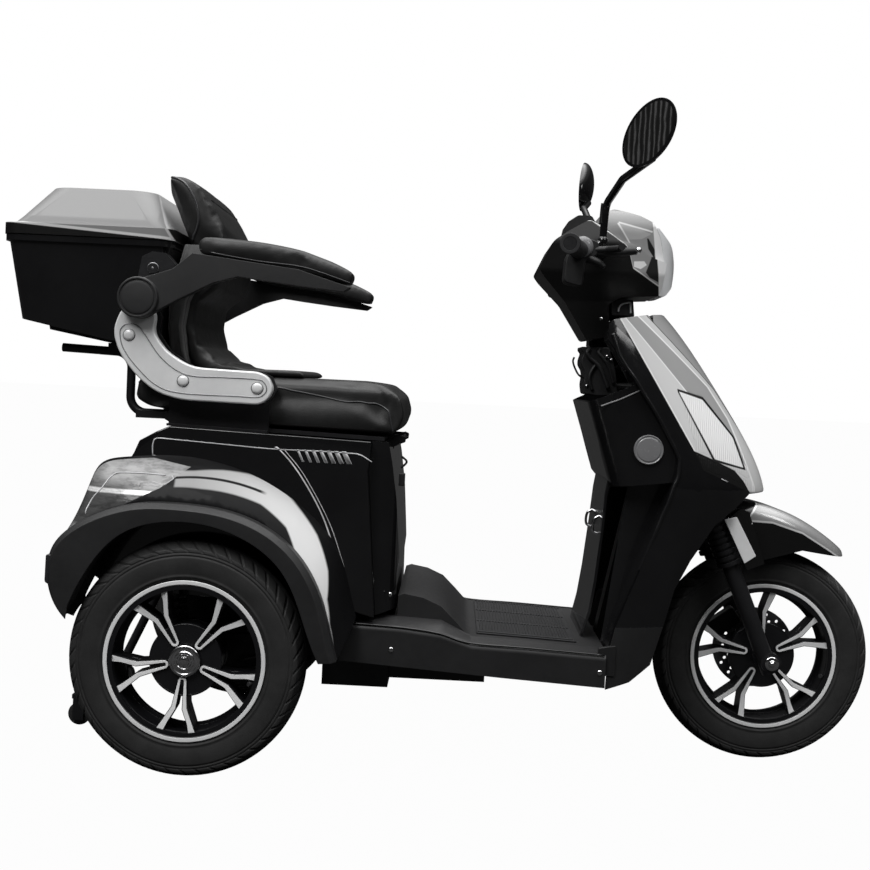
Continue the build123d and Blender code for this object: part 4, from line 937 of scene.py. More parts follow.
def tyre_profile():
    """(y, radius, place across the tread) from one bead to the other."""
    half = []
    for r, y in ((134.2, 30.8), (137, 32.2), (139.4, 33.8), (141.3, 35.0)):
        half.append((y, r, 9.0))
    for r in (143.5, 145.2, 146.0, 148.6, 149.6, 153, 158, 164, 170, 175, 179, 181.5, 182.4,
              183.4, 184.3, 186.5, 188.0, 188.8, 189.6, 191.5, 193.5, 195.2):
        a = (r - 171) * (r - 195) / ((141 - 171) * (141 - 195))
        b = (r - 141) * (r - 195) / ((171 - 141) * (171 - 195))
        c = (r - 141) * (r - 171) / ((195 - 141) * (195 - 171))
        y = 35 * a + 39.4 * b + 36 * c
        if 146.0 <= r <= 148.7:
            y += 0.9
        if 182.4 <= r <= 183.4:
            y -= 1.1
        if 188.0 <= r <= 188.8:
            y -= 0.9
        half.append((y, r, 1.0 + max(0.0, (196 - r)) / 22))
    for share in (0.975, 0.94, 0.88, 0.8, 0.72, 0.64, 0.55, 0.46, 0.38, 0.31, 0.285, 0.235, 0.21,
                  0.12, 0.04):
        y = 36 * share
        half.append((y, 208 - 12.6 * share ** 2.2, share))
    return half + [(-y, r, -s) for y, r, s in reversed(half)]


def tread_point(y, r, s, cut, deep):
    """Point of one pitch of the tyre, with its slanted shoulder groove and crown grooves."""
    across = abs(s)
    lag = 0.115 * min(across, 1.5) ** 1.3
    angle = 2 * math.pi * cut / TYRE_PITCHES - lag
    drop = 0.0
    if deep and 0.40 < across < 1.36:
        drop = 3.0 * min(1.0, (across - 0.40) / 0.08, (1.36 - across) / 0.3)
    if 0.22 < across < 0.295:
        drop = max(drop, 3.2)
    lean = 1.0 if across < 0.9 else 0.55
    radius = r - drop * lean
    return (radius * math.cos(angle), y - math.copysign(drop * (1 - lean) * 1.2, y),
            radius * math.sin(angle))


def tyre_piece(name, centre, turned, body):
    """Tyre with shoulder grooves, two grooves round its crown and ringed sidewalls."""
    profile = tyre_profile()
    cuts = ((0.0, 0), (0.30, 0), (0.44, 0), (0.50, 0), (0.53, 1), (0.70, 1), (0.73, 0), (0.86, 0),
            (1.0, 0))
    pitch = Shapes()
    pitch.add([tread_point(*place, *cut) for cut in cuts for place in profile],
              loop_faces(len(cuts), len(profile)))
    shape = Shapes(wheel_frame(centre, turned))
    shape.ring(pitch, TYRE_PITCHES, -2 * math.pi / TYRE_PITCHES)
    piece = shape.made(name, "tyre", body, "tyre")
    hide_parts(name.replace("_cover", ""))


def spoke_faces(dark, bright, face):
    """The two arms of one spoke, radius along x, in a wheel whose spoke face is at y = face."""
    lift = [0, 0, 0, 0, 0, -7.6, -7.6, 0, 0, 0]
    for side in (1, -1):
        arm = [(36, 2.4), (36, 8), (60, 11), (82, 14), (108, 27.4), (131.2, 40.5), (133.4, 24.6),
               (110, 16.5), (86, 5), (60, 3.6)]
        thin = [(36.5, 3.2), (36.5, 7.2), (60, 10.1), (82.2, 12.9), (108.3, 26.3), (131, 39.0),
                (133.0, 25.8), (110, 17.5), (85.6, 6.2), (60, 4.5)]
        back = [(44, 4.4), (44, 8.4), (80, 14), (124, 34), (126, 26), (88, 8)]
        far = [(u, face + 16, side * v) for u, v in arm]
        near = [(u, face - 0.2 + up, side * v) for (u, v), up in zip(arm, lift)]
        dark.add(far + near, capped_faces(2, len(arm)))
        far = [(u, face - 0.9 + up, side * v) for (u, v), up in zip(thin, lift)]
        near = [(u, face - 0.1 + up, side * v) for (u, v), up in zip(thin, lift)]
        bright.add(near + far, capped_faces(2, len(thin)))
        near = [(u, face + 15, side * v) for u, v in back]
        far = [(u, face + 42, side * v * 0.94) for u, v in back]
        dark.add(near + far, capped_faces(2, len(back)))
    angles = [math.pi / 2 + math.pi * step / 12 for step in range(13)]
    horseshoe = [(36.45 + 7.2 * math.cos(a), 7.2 * math.sin(a)) for a in angles]
    horseshoe += [(36.45 + 3.2 * math.cos(a), 3.2 * math.sin(a)) for a in reversed(angles)]
    bright.prism(horseshoe, face - 0.1, face - 0.9)


def wheel_trim(name, centre, turned, body, spoke_angle):
    """Machined spoke faces and rim edge, and the dark arms behind them."""
    place = wheel_frame(centre, turned)
    start = Matrix.Rotation(-math.radians(spoke_angle), 4, "Y")
    dark_spoke = Shapes(start)
    bright_spoke = Shapes(start)
    spoke_faces(dark_spoke, bright_spoke, -30.0)
    fifth = -math.radians(72)
    bright = Shapes(place)
    bright.ring(bright_spoke, 5, fifth)
    bright.turned([(133.6, -38.1), (134.3, -38.7), (140.2, -38.7), (141.0, -38.1),
                   (141.0, -37.2), (133.6, -37.2)], steps=128)
    bright.made(f"wheel_faces_{name}", "machined", body, "alloy_bright", 0.5)
    dark = Shapes(place)
    dark.ring(dark_spoke, 5, fifth)
    dark.turned([(118, 10), (125.5, 10), (125.5, -30), (133.4, -37.9), (133.4, -38.9),
                 (124.6, -30.8), (124.6, 9), (118, 9)], steps=96)
    dark.turned([(60.5, -26.4), (63.3, -26.2), (63.8, -24.8), (60.5, -24.0)], steps=72)
    dark.made(f"wheel_arms_{name}", "rim", body, "alloy_black", 0.9)


def rear_hub(hub):
    hub.disc([(0.0, -39.9), (5.5, -39.9), (7.2, -39.2), (8.2, -38.2), (8.2, -37.0),
              (12.2, -36.4), (13.2, -37.6), (16.6, -37.4), (17.8, -35.8), (22.0, -35.4),
              (23.2, -36.4), (26.0, -35.8), (27.5, -34.4), (27.5, -29.6), (0.0, -29.5)])
    corners = [math.pi / 3 * k for k in range(6)]
    hub.prism([(9.6 * math.cos(a), 9.6 * math.sin(a)) for a in corners], -39.3, -35.0)


def front_hub(hub):
    hub.disc([(0.0, -47.0), (14.0, -46.8), (17.0, -45.6), (20.5, -44.2), (21.9, -42.0),
              (21.9, -27.0), (0.0, -26.0)])


def hub_and_valve(name, centre, turned, body):
    """Hub cap in the middle of a wheel, and the valve by its rim."""
    hub = Shapes(wheel_frame(centre, turned))
    if name == "front":
        front_hub(hub)
        hub.made("hub_front", "rim", body, "alloy_black", 0.3, 1)
    else:
        rear_hub(hub)
        hub.made(f"hub_{name}", "chrome", body, "alloy_bright", 0.3, 1)
    stem = Shapes(hub.place)
    stem.tube([(121, -20, -36), (118, -29, -35), (114, -38, -34)], 3.2, 10)
    stem.tube([(115.2, -35, -34.3), (112.6, -37.8, -33.6)], 4.4, 10)
    stem.made(f"valve_{name}", "rubber", body, "rubber", 0.4, 1)


def make_wheels():
    """Tyres, trim and hubs of the three wheels, and the front axle's nut."""
    for name, (centre, turned, body, angle) in WHEELS.items():
        tyre_piece(f"tyre_{name}_cover", centre, turned, body)
        wheel_trim(name, centre, turned, body, angle)
        hub_and_valve(name, centre, turned, body)
    axle = Shapes()
    y = -106.5
    axle.disc([(0.0, y - 5.5), (3.0, y - 5.5), (4.2, y - 4.2), (6.5, y - 3.4), (7.4, y - 1.6),
               (11.6, y - 1.2), (13.4, y), (13.6, y + 6), (0.0, y + 6.4)], WHEELS["front"][0])
    axle.made("axle_nut", "chrome", "steering", "alloy_bright", 0.3, 1)


# ---- trim of the rear body

def body_lines():
    """Thin pale lines, slanted bars and the belt line on the sides of the rear body; the belt line
    and the wide slanted line are painted highlights along the body's crease and a raised rib.
    """
    pale = Shapes()
    for side in SIDES:
        pale.place = mirrored(side)
        low, high = -232.9, -231.6
        belt = [(-89, 557), (-89, 577), (-80.5, 586.5), (-40, 585), (120, 577), (200, 577),
                (254, 576), (281, 574), (303, 562)]
        # painted highlight along the crease of the body
        strip(pale, belt, 2.0, low, high)
        strip(pale, [(-89, 556), (-60, 553), (-20, 552)], 1.2, low, high)
        # painted highlight where a raised rib runs down the side
        strip(pale, [(129, 580), (138, 576), (176, 533), (224, 451), (265, 331)], 2.4, low, high)
        strip(pale, [(146, 577), (184, 532), (232, 450), (262, 372)], 1.1, low, high)
        for number in range(7):
            x = 167.5 + number * 13.4
            width = 4.2 + number * 0.8
            bar = [(x, 578.5), (x + width, 578.5), (x + width + 11, 556), (x + 11, 556)]
            pale.prism(round_outline(bar, 1.5, 2), low, high)
    pale.made("side_lines", "pale", "chassis", "silver_paint")


def strip(shape, points, width, y_low, y_high):
    """Flat band of the given width along a line of (x, z) points."""
    line = smooth_line([(x, 0, z) for x, z in points])
    left = []
    right = []
    for i, p in enumerate(line):
        a = line[max(i - 1, 0)]
        b = line[min(i + 1, len(line) - 1)]
        along = (b - a).normalized()
        square = Vector((-along.z, 0, along.x)) * (width / 2)
        left.append((p.x + square.x, p.z + square.z))
        right.append((p.x - square.x, p.z - square.z))
    shape.prism(left + right[::-1], y_low, y_high)


# ---- screws, rivets, reflectors and other small things

def button(squash):
    """Rounded screw head of unit size."""
    head = Shapes()
    head.ball((0, 0, 0), 1.0, squash)
    return head


def floor_screws():
    heads = Shapes()
    heads.spots(button(0.45), [(352, -228.2, 226, 5.2), (728, -228.2, 203, 5.2),
                               (345, -206.5, 322, 4.0)])
    heads.made("floor_screws", "chrome", "chassis", "alloy_bright")


def side_reflectors():
    """Round reflectors on the sides of the leg shield."""
    reflector = Shapes()
    for side in SIDES:
        reflector.place = mirrored(side)
        reflector.disc([(0.0, -186.2), (13.0, -186.0), (21.0, -185.6), (22.2, -184.6),
                        (24.0, -184.4), (25.2, -185.4), (26.6, -185.0), (27.2, -183.2),
                        (27.2, -179.8), (0.0, -179.7)], (801, 0, 605))
    reflector.made("side_reflectors", "reflector", "chassis", "clear_lens", 0.3, 1)


def bracket_details():
    """Rivets of the cast brackets, with a dark grey ring round each and a dark grey bar along their
    edge, painted shade of the grooves there.
    """
    rivet = Shapes()
    rivet.disc([(0.0, -266.2), (5.5, -265.8), (8.2, -264.8), (9.6, -262.9), (9.6, -261.5),
                (0.0, -261.0)])
    ring = Shapes()
    ring.turned([(10.0, -261.6), (11.0, -261.6), (11.0, -262.4), (10.0, -262.4)], steps=40)
    places = [(-131, 0, 767, 1.0), (-33, 0, 691, 1.0), (98, 0, 684, 1.0)]
    edge = [(-147, 768), (-139, 741), (-111, 707), (-79, 681), (-37, 669.5), (60, 668.5),
            (99, 668.5), (112, 676), (114.5, 684), (110, 694), (97, 699.5), (40, 700.5),
            (-27, 702), (-71, 728), (-103, 769), (-115, 783), (-131, 787), (-143, 781)]
    rivets = Shapes()
    groove = Shapes()
    for side in SIDES:
        rivets.place = mirrored(side)
        groove.place = mirrored(side)
        rivets.spots(rivet, places)
        groove.spots(ring, places)
        # dark bar along the bracket's edge: painted shade of a groove
        groove.tube([(x, -262.1, z) for x, z in edge], 0.85, 8, close=True)
    rivets.made("bracket_rivets", "bright", "seat", "alloy_bright")
    groove.made("bracket_grooves", "groove", "seat", "alloy_bright")


def pivot_caps():
    """Round caps over the armrests' pivots, and the bolts of the ears above them."""
    caps = Shapes()
    ears = Shapes()
    for side in SIDES:
        caps.place = mirrored(side)
        ears.place = mirrored(side)
        caps.disc([(0.0, -290.6), (8.0, -290.8), (24.0, -290.2), (28.5, -289.6), (29.0, -288.2),
                   (31.0, -288.0), (32.0, -290.2), (34.6, -290.0), (35.9, -288.0),
                   (35.9, -287.0), (0.0, -286.8)], (-112, 0, 832), 64)
        ears.ball((-99, -238.4, 887), 6.5, 0.6)
        ears.turned([(8.5, -238.2), (10.5, -238.2), (10.5, -239.4), (8.5, -239.4)],
                    (-99, 0, 887), 32)
    caps.made("pivot_caps", "matte", "seat", "matte_black", 0.3, 1)
    ears.made("ear_bolts", "steel", "seat", "steel_black")


def shield_screws():
    """Screws down the sides of the leg shield and at the head's foot."""
    screws = Shapes()
    for side in SIDES:
        screws.place = mirrored(side)
        screws.spots(button(0.5), [(807, -199.5, 421, 3.6), (765, -205.5, 287, 3.6),
                                   (713, -92.6, 843, 3.2)])
    screws.made("shield_screws", "chrome", "chassis", "alloy_bright")


def latch_and_hooks():
    """Latch of the seat base's front panel, and two bag hooks on the inner shield."""
    latch = Shapes()
    latch.slab((350, -176, 517), (361, -160, 540))
    latch.tube([(352, -150, 570), (362, -150, 560), (352, -150, 548)], 2.0)
    latch.made("panel_latch", "matte_dark", "chassis", "matte_black", 1.5)
    hooks = Shapes()
    for side in SIDES:
        hooks.place = mirrored(side)
        hooks.tube([(742, -60, 470), (724, -60, 462), (722, -60, 440), (735, -60, 432)], 2.6)
    hooks.made("bag_hooks", "chrome", "chassis", "alloy_bright")


# ---- steering head and neck

def switches(side, where):
    """Switch block, its knob and the end of the lever beside one grip."""
    block = Shapes(mirrored(side))
    block.prism(round_outline([(632, 942), (630, 900), (664, 892), (668, 940), (690, 950),
                               (690, 975), (650, 985)], 8), -196, -152)
    block.made(f"switch_block_{where}", "matte_dark", "steering", "matte_black", 3.0)
    knob = Shapes(mirrored(side))
    knob.disc([(0.0, -203.0), (9.0, -202.5), (15.0, -200.5), (18.5, -197.0), (19.5, -192.0),
               (19.5, -184.0), (0.0, -183.5)], (662, 0, 964), 40)
    knob.made(f"switch_knob_{where}", "knob", "steering", "matte_black", 0.6, 1)
    horn = Shapes(mirrored(side))
    horn.tube([(668, -176, 955), (700, -188, 957), (730, -192, 958), (758, -194, 961)], 11.5, 16,
              end=6.5)
    horn.tube([(668, -186, 946), (690, -196, 938), (702, -198, 929)], 9.0, end=3.5)
    horn.made(f"lever_horn_{where}", "matte_dark", "steering", "matte_black")
    tip = Shapes(mirrored(side))
    tip.ball((761, -197.5, 962), 6.0)
    tip.made(f"lever_tip_{where}", "chrome", "steering", "alloy_bright")


def mirror_collars():
    collars = Shapes()
    for side in SIDES:
        collars.place = mirrored(side)
        collars.tube([(703.5, -130, 1014), (704, -130, 1034), (705, -130.5, 1052)], 8.0, 16)
    collars.made("mirror_collars", "matte_dark", "steering", "matte_black")


def neck():
    """Cover of the steering neck, with the cables and screws on its right side."""
    cover = Shapes()
    cover.prism(round_outline([(684, 791), (684, 784), (689, 779), (685, 766), (685, 756),
                               (692, 745), (693, 733), (691, 719), (694, 700), (722, 697),
                               (760, 700), (752, 750), (738, 792)], 5), -38, 38)
    cover.made("neck_cover", "matte_dark", "chassis", "matte_black", 3.0)
    cables = Shapes()
    cables.tube([(700, -40, 788), (695, -43, 780), (701, -43, 770), (717, -43, 757),
                 (727, -43, 740), (739, -43, 712)], 4.0, 10)
    cables.tube([(720, -40, 788), (717, -44, 780), (728, -45, 768), (739, -44, 750),
                 (749, -42, 722)], 3.2, 10)
    cables.tube([(713, -41, 757), (705, -42, 744), (702, -42, 728), (709, -40, 708)], 3.2, 10)
    cables.tube([(692, -24, 731), (682, -30, 737), (674, -32, 750), (670, -32, 762),
                 (672, -31, 770)], 1.9, 10)
    cables.made("neck_cables", "matte_dark", "chassis", "matte_black")
    screws = Shapes()
    screws.spots(button(1.2), [(698, -38.5, 787, 3.0), (694, -38.5, 778, 2.6),
                               (733, -38.5, 774, 5.0), (742, -38.5, 768, 4.2),
                               (698, -38.5, 716, 3.4)])
    screws.made("neck_screws", "chrome", "chassis", "alloy_bright")


def stem():
    """Dark cover under the head, with a small bright loop on its side."""
    cover = Shapes()
    cover.prism(round_outline([(734, 884), (736, 852), (781, 852), (777, 884)], 3), -52, 52)
    cover.made("stem_cover", "matte_dark", "steering", "matte_black", 2.0)
    loop = Shapes()
    loop.tube([(749, -54, 860), (750, -54, 867), (755, -54, 874), (766, -54, 878),
               (773, -54, 878)], 1.8, 10)
    loop.tube([(772, -54, 877), (772.5, -54, 868), (773, -54, 858)], 1.5, 10)
    loop.made("stem_loop", "bright", "steering", "alloy_bright")


def glove_rim():
    """Pale line along the upper edge of the glove compartment."""
    rim = Shapes()
    for side in SIDES:
        rim.place = mirrored(side)
        rim.tube([(711, -180.3, 680), (728, -180.3, 687), (746, -180.3, 694.5),
                  (779, -180.3, 711)], 1.5, 8)
    rim.made("glove_rim", "edge_line", "chassis", "matte_black")


# ---- brackets, beads and small covers

def both_sides(name, finish, body, slot, outline, y_low, y_high, edge, segments=2):
    """The same plate on the right and on the left side."""
    shape = Shapes()
    for side in SIDES:
        shape.place = mirrored(side)
        shape.prism(outline, y_low, y_high)
    return shape.made(name, finish, body, slot, edge, segments)


def cast_brackets():
    """Cast brackets of the armrests, with flowing corners."""
    outline = round_outline([(-145, 819), (-161, 774), (-149, 736), (-118, 697), (-82, 669),
                             (-37, 657), (101, 655), (117, 664), (127, 684), (117, 705),
                             (98, 713), (-22, 716), (-67, 743), (-89, 774), (-85, 804),
                             (-98, 826)], 40, 6)
    piece = both_sides("cast_brackets", "bright", "seat", "alloy_bright", outline,
                       -261.8, -242.2, 3.5, 3)
    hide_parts("arm_brackets")


def laid_lines(shape, target, lift, radius, steps, y, points):
    """Thin bars laid on both sides of a node along a line of (x, z) points."""
    for side in SIDES:
        line = laid_on(nodes[target], [(x, side * y, z) for x, z in points], lift)
        shape.tube(line[::3], radius, steps)


def panel_edges():
    """Dark bead round the leg shield and pale lines round the nose foot and tail lamps."""
    bead = Shapes()
    for side in SIDES:
        line = [(727, side * 200, 815), (748, side * 203, 757), (784, side * 205, 697),
                (825, side * 206, 640), (853, side * 206, 604), (859, side * 206, 585),
                (850, side * 206, 562), (824, side * 206, 499), (799, side * 206, 427),
                (790, side * 206, 389)]
        bead.tube(laid_on(nodes["leg_shield"], line, 0.8)[::3], 3.4, 10)
    bead.made("shield_beads", "gloss_soft", "chassis", "matte_black")
    pale = Shapes()
    laid_lines(pale, "nose_panel", 0.2, 1.0, 8, 150,
               [(858, 605), (872, 588), (896, 571.5), (930, 560), (971, 547)])
    laid_lines(pale, "tail_lamps", 0.3, 1.3, 8, 285,
               [(-185, 433), (-179, 476), (-166, 499), (-153, 531), (-132, 541), (-43, 533)])
    laid_lines(pale, "tail_lamps", 0.3, 1.0, 8, 285,
               [(-43, 533), (-33, 506), (-52, 484), (-129, 459), (-183, 434)])
    pale.made("pale_edges", "pale", "chassis", "silver_paint")


def small_covers():
    """Bright plates on the fork legs whose white is a painted highlight on their covers, joints of
    the floor, and reflectors at the rear.
    """
    # white plates: painted highlight on the fork legs' covers
    both_sides("leg_covers", "bright", "steering", "alloy_bright",
               [(960, 478), (983, 484), (1023, 412), (1002, 397)], -116, -111, 1.0)
    joint = round_outline([(724, 196), (756, 196), (756, 252), (724, 246)], 4)
    both_sides("floor_joints", "matte_dark", "chassis", "matte_black", joint, -221, -212, 1.0)
    block = round_outline([(-242, 384), (-243, 336), (-226, 328), (-222, 384)], 4)
    both_sides("rear_reflectors", "reflector_dark", "chassis", "matte_black", block, -332, -300,
               2.0)


# ---- padded pieces

CLOTH_FRAMES = 20


def draw_in(mesh, shrink):
    """Brings every side of a mesh in by shrink."""
    corners = [Vector(v.co) for v in mesh.vertices]
    low = Vector([min(c[i] for c in corners) for i in range(3)])
    high = Vector([max(c[i] for c in corners) for i in range(3)])
    middle = (low + high) / 2
    size = high - low
    for vertex in mesh.vertices:
        for i in range(3):
            share = 1 - 2 * shrink * MM / size[i]
            vertex.co[i] = middle[i] + (vertex.co[i] - middle[i]) * share


def swell(piece, cap, pin, pressure):
    """Fills a skin by pressure, its pinned part held, and cap at most from where it was."""
    start = [v.co.copy() for v in piece.data.vertices]
    cloth = piece.modifiers.new("cloth", "CLOTH")
    cloth.settings.quality = 4
    cloth.settings.mass = 0.25
    cloth.settings.tension_stiffness = 12
    cloth.settings.compression_stiffness = 12
    cloth.settings.bending_stiffness = 2.0
    cloth.settings.use_pressure = True
    cloth.settings.uniform_pressure_force = pressure
    cloth.settings.effector_weights.gravity = 0
    if pin:
        group = piece.vertex_groups.new(name="held")
        held = [v.index for v in piece.data.vertices if pin(off(v.co))]
        group.add(held, 1.0, "REPLACE")
        cloth.settings.vertex_group_mass = "held"
    cloth.point_cache.frame_start = 1
    cloth.point_cache.frame_end = CLOTH_FRAMES
    for number in range(1, CLOTH_FRAMES + 1):
        bpy.context.scene.frame_set(number)
    swollen = evaluated(piece)
    piece.modifiers.clear()
    piece.vertex_groups.clear()
    piece.data = swollen
    bpy.context.scene.frame_set(1)
    for vertex, before in zip(piece.data.vertices, start):
        move = vertex.co - before
        if move.length > cap * MM:
            vertex.co = before + move * (cap * MM / move.length)


def padded_piece(name, source, body, shrink, voxel, cap, pin=None, pressure=4.0):
    """Cover of a cushion: the plain shape drawn in, remeshed, then filled by pressure."""
    piece = linked(name, nodes[source].data.copy())
    draw_in(piece.data, shrink)
    grid = piece.modifiers.new("grid", "REMESH")
    grid.mode = "VOXEL"
    grid.voxel_size = voxel * MM
    piece.data = evaluated(piece)
    piece.modifiers.clear()
    swell(piece, cap, pin, pressure)
    relax = piece.modifiers.new("relax", "SMOOTH")
    relax.factor = 0.5
    relax.iterations = 5
    fine = piece.modifiers.new("fine", "SUBSURF")
    fine.levels = 1
    fine.render_levels = 1
    piece.data = evaluated(piece)
    piece.modifiers.clear()
    for face in piece.data.polygons:
        face.use_smooth = True
    piece.data.materials.clear()
    piece.data.materials.append(mats["leather"])
    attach(piece, body)
    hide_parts(source)
    return piece


def laid_on(piece, points, lift=0.3, close=False):
    """The line through the points, laid on the surface of a piece."""
    line = []
    for point in smooth_line(points, close):
        place, normal = piece.closest_point_on_mesh(at(*point))[1:3]
        line.append(off(place + normal * (lift * MM)))
    return line


def seam(shape, line, radius):
    """Piping along a dense line."""
    shape.tube(line[::3] + [line[-1]], radius, 8)


def cushion():
    """Seat cushion, with piping along its upper edges and a seam down its side."""
    base = padded_piece("cushion_cover", "cushion", "seat", 5, 6, 9,
                        pin=lambda p: p.z < 640 - 0.06 * (p.x + 60))
    piping = Shapes()
    for side in SIDES:
        y = side * 208
        line = [(-143, y, 692), (-60, y, 696), (60, y, 696), (112, y, 694), (166, y, 681),
                (257, y, 671), (302, y, 666), (327, y * 0.985, 650), (338, y * 0.965, 613)]
        seam(piping, laid_on(base, line), 1.5)
        line = [(100, y, 690), (101, y, 650), (101, y, 618)]
        seam(piping, laid_on(base, line, 0.0), 0.9)
    piping.made("cushion_piping", "piping", "seat", "leather")


def backrest():
    """Backrest with its headrest, piped round the headrest's ends and across its front."""
    back = padded_piece("backrest_cover", "seat_pad", "seat", 4, 5, 7,
                        pin=lambda p: p.z < 722 and p.x > -20)
    piping = Shapes()
    for side in SIDES:
        y = side * 166
        line = [(-98, y * 0.93, 1068), (-80, y * 0.97, 1062), (-66, y, 1052), (-52, y, 1033),
                (-42, y, 1011), (-38, y, 985), (-46, y, 962), (-60, y, 944)]
        seam(piping, laid_on(back, line, 0.5), 2.4)
    for x, z in ((-30, 1021), (20, 905)):
        line = [(x, y, z) for y in (-160, -80, 0, 80, 160)]
        seam(piping, laid_on(back, line, 0.0), 1.2)
    piping.made("backrest_piping", "piping", "seat", "leather")


def arm_pad(side, name):
    """Pad of one armrest, with a seam along its outer side."""
    body = f"armrest_{name}"
    pad = padded_piece(f"arm_pad_cover_{name}", f"arm_pad_{name}", body, 2.5, 4, 5)
    y = side * 286
    path = [(-12, y, 918), (80, y, 902), (164, y, 898), (220, y, 883), (262, y, 869)]
    line = Shapes()
    seam(line, laid_on(pad, path, 0.2), 1.1)
    line.made(f"arm_pad_seam_{name}", "piping", body, "leather")


# How square the back cover's plan is: 1 would be an ellipse.
COVER_SQUARENESS = 0.28


def cover_point(row, depth, angle):
    """Point of the back cover at an angle round a row, moved in and out by its folds."""
    z, rear, front, half = row
    c, s = math.cos(angle), math.sin(angle)
    at_side = abs(s) ** COVER_SQUARENESS > 0.9
    at_end = abs(c) ** COVER_SQUARENESS > 0.9
    x = (rear + front) / 2 + (front - rear) / 2 * math.copysign(abs(c) ** COVER_SQUARENESS, c)
    y = half * math.copysign(abs(s) ** COVER_SQUARENESS, s)
    wave = 0.0
    if at_side:
        wave += 0.6 * math.sin(0.62 * x + 1.2 * math.sin(z * 0.013))
        wave += 0.4 * math.sin(1.31 * x + z * 0.021)
    if at_end:
        wave += 0.5 * math.sin(0.16 * y + z * 0.012)
    fold = depth * wave - depth
    return (x + (math.copysign(fold, c) if at_end else 0.0),
            y + (math.copysign(fold, s) if at_side else 0.0), z)


def cover_cloth():
    """Loose cover behind the backrest, with folds that hang down its sides."""
    around = 360
    rows = [(712, -60, -42, 168), (722, -68, -44, 178), (745, -80, -49, 184), (790, -84, -56, 185),
            (835, -83, -50, 185), (868, -78, -36, 184), (905, -70, -20, 182), (938, -62, -16, 178)]
    verts = []
    for number, row in enumerate(rows):
        depth = 1.7 * (0.5 + 0.5 * math.sin(math.pi * number / 7))
        verts += [cover_point(row, depth, 2 * math.pi * step / around) for step in range(around)]
    shape = Shapes()
    shape.add(verts, capped_faces(len(rows), around))
    piece = shape.made("back_cover", "cloth", "seat", "matte_black")
    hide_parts("back_shell")


# ---- floor mat and footboard

RIB_PITCH = 5.7


def mat_ribs():
    """Cross ribs of the floor mat and the beads between its fields."""
    rib = Shapes()
    rib.slab((0, -158, -1.2), (2.4, 158, 1.5))
    ribs = Shapes()
    starts = [512 + number * RIB_PITCH for number in range(30)]
    ribs.spots(rib, [(x, 0, floor_height(x) + 3.7, 1.0) for x in starts])
    for y in (-160, -54, 54, 158):
        ribs.tube([(x, y, floor_height(x) + 4.4) for x in (508, 560, 620, 684)], 1.6, 8)
    ribs.made("mat_ribs", "rubber", "chassis", "rubber", 0.5, 1)


def floor_edge():
    """Glossy bead along both sides of the footboard."""
    bead = Shapes()
    for side in SIDES:
        bead.place = mirrored(side)
        bead.tube([(262, -226.5, 271), (366, -226.5, 267), (436, -226.5, 259.5),
                   (492, -226.5, 245), (600, -226.5, 241), (736, -226.5, 235)], 1.8, 8)
    bead.made("floor_edge", "gloss_soft", "chassis", "matte_black")


def floor_height(x):
    """Height of the mat's base along the vehicle."""
    points = [(440, 276), (496, 250), (600, 246), (738, 240)]
    for (a, b), (c, d) in zip(points, points[1:]):
        if a <= x <= c:
            return b + (d - b) * (x - a) / (c - a)
    return 240.0


# ---- light, floor and backdrop

def make_floor():
    """Pale floor that keeps the shadow and sends little light back up."""
    mesh = bpy.data.meshes.new("floor")
    mesh.from_pydata([(-40, -40, 0), (40, -40, 0), (40, 40, 0), (-40, 40, 0)], [],
                     [(0, 1, 2, 3)])
    floor = linked("floor", mesh)
    material, tree, bsdf = new_material("pale_floor", Roughness=0.9)
    bsdf.inputs["Base Color"].default_value = (0.02, 0.02, 0.02, 1)
    bsdf.inputs["Specular IOR Level"].default_value = 0.1
    path = tree.nodes.new("ShaderNodeLightPath")
    glow = tree.nodes.new("ShaderNodeEmission")
    glow.inputs["Color"].default_value = (1, 1, 1, 1)
    glow.inputs["Strength"].default_value = 1.02
    mix = tree.nodes.new("ShaderNodeMixShader")
    part = tree.nodes.new("ShaderNodeMath")
    part.operation = "MULTIPLY"
    part.inputs[1].default_value = 0.96
    tree.links.new(path.outputs["Is Camera Ray"], part.inputs[0])
    tree.links.new(part.outputs[0], mix.inputs["Fac"])
    tree.links.new(bsdf.outputs[0], mix.inputs[1])
    tree.links.new(glow.outputs[0], mix.inputs[2])
    tree.links.new(mix.outputs[0], tree.nodes["Material Output"].inputs["Surface"])
    mesh.materials.append(material)


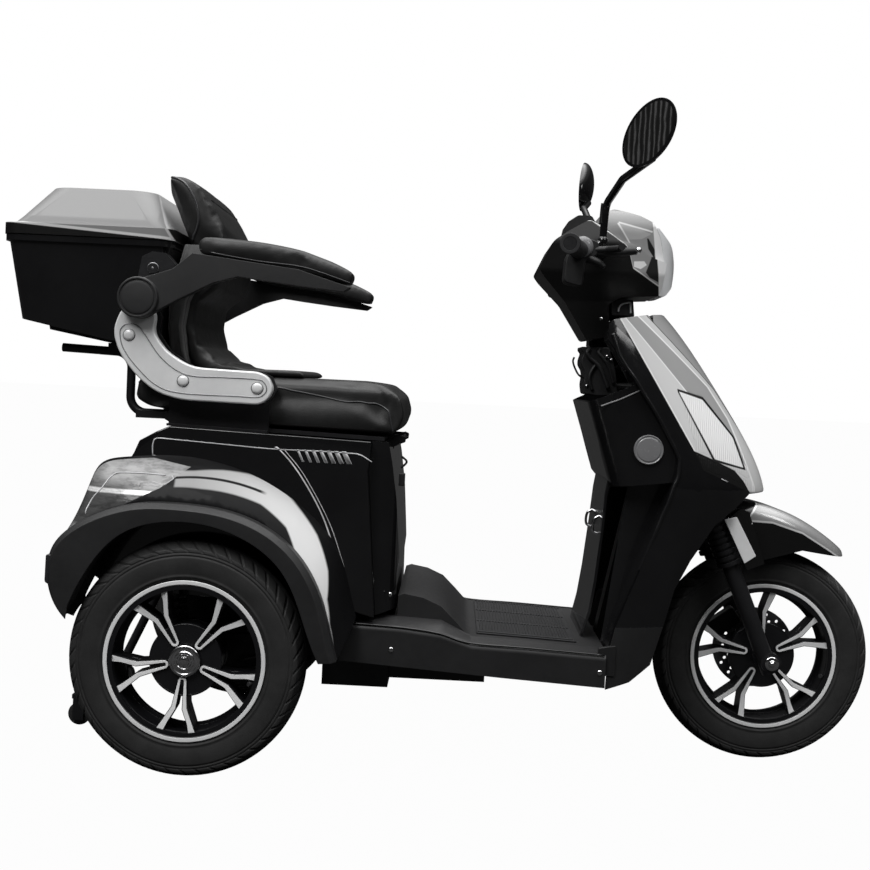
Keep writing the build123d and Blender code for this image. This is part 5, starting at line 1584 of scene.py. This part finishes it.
def make_world():
    """White surroundings to the eye, and soft light from above on the object."""
    world = bpy.data.worlds.new("studio")
    bpy.context.scene.world = world
    world.use_nodes = True
    tree = world.node_tree
    tree.nodes.clear()
    out = tree.nodes.new("ShaderNodeOutputWorld")
    seen = tree.nodes.new("ShaderNodeBackground")
    seen.inputs["Color"].default_value = (1, 1, 1, 1)
    seen.inputs["Strength"].default_value = 1.0
    lit = tree.nodes.new("ShaderNodeBackground")
    lit.inputs["Strength"].default_value = 3.4
    coords = tree.nodes.new("ShaderNodeTexCoord")
    split = tree.nodes.new("ShaderNodeSeparateXYZ")
    tree.links.new(coords.outputs["Generated"], split.inputs[0])
    shade = ramp(tree, split.outputs["Z"], [(0.0, 0.004), (0.40, 0.010), (0.62, 0.06),
                                            (0.74, 0.4), (0.86, 1.0)])
    tree.links.new(shade, lit.inputs["Color"])
    path = tree.nodes.new("ShaderNodeLightPath")
    mix = tree.nodes.new("ShaderNodeMixShader")
    tree.links.new(path.outputs["Is Camera Ray"], mix.inputs["Fac"])
    tree.links.new(lit.outputs[0], mix.inputs[1])
    tree.links.new(seen.outputs[0], mix.inputs[2])
    tree.links.new(mix.outputs[0], out.inputs["Surface"])


def area_light(name, place, aim, size, energy):
    """Square soft light that points at aim."""
    data = bpy.data.lights.new(name, "AREA")
    data.shape = "RECTANGLE"
    data.size, data.size_y = size
    data.energy = energy
    lamp = linked(name, data)
    lamp.location = place
    lamp.rotation_euler = (Vector(aim) - Vector(place)).to_track_quat("-Z", "Y").to_euler()


def make_lights():
    area_light("key", (-1.4, -2.6, 3.1), (-0.1, 0, 0.5), (1.3, 1.3), 52)
    area_light("front_side", (2.4, -2.4, 2.8), (0.4, 0, 0.5), (0.9, 0.9), 14)


make_camera()
make_floor()
make_world()
make_lights()
bpy.context.scene.view_settings.view_transform = "Standard"
dress_nodes()
make_wheels()
body_lines()
floor_screws()
side_reflectors()
bracket_details()
pivot_caps()
shield_screws()
latch_and_hooks()
switches(-1, "right")
switches(1, "left")
mirror_collars()
neck()
stem()
glove_rim()
cast_brackets()
panel_edges()
small_covers()
cushion()
backrest()
arm_pad(1, "left")
arm_pad(-1, "right")
cover_cloth()
mat_ribs()
floor_edge()
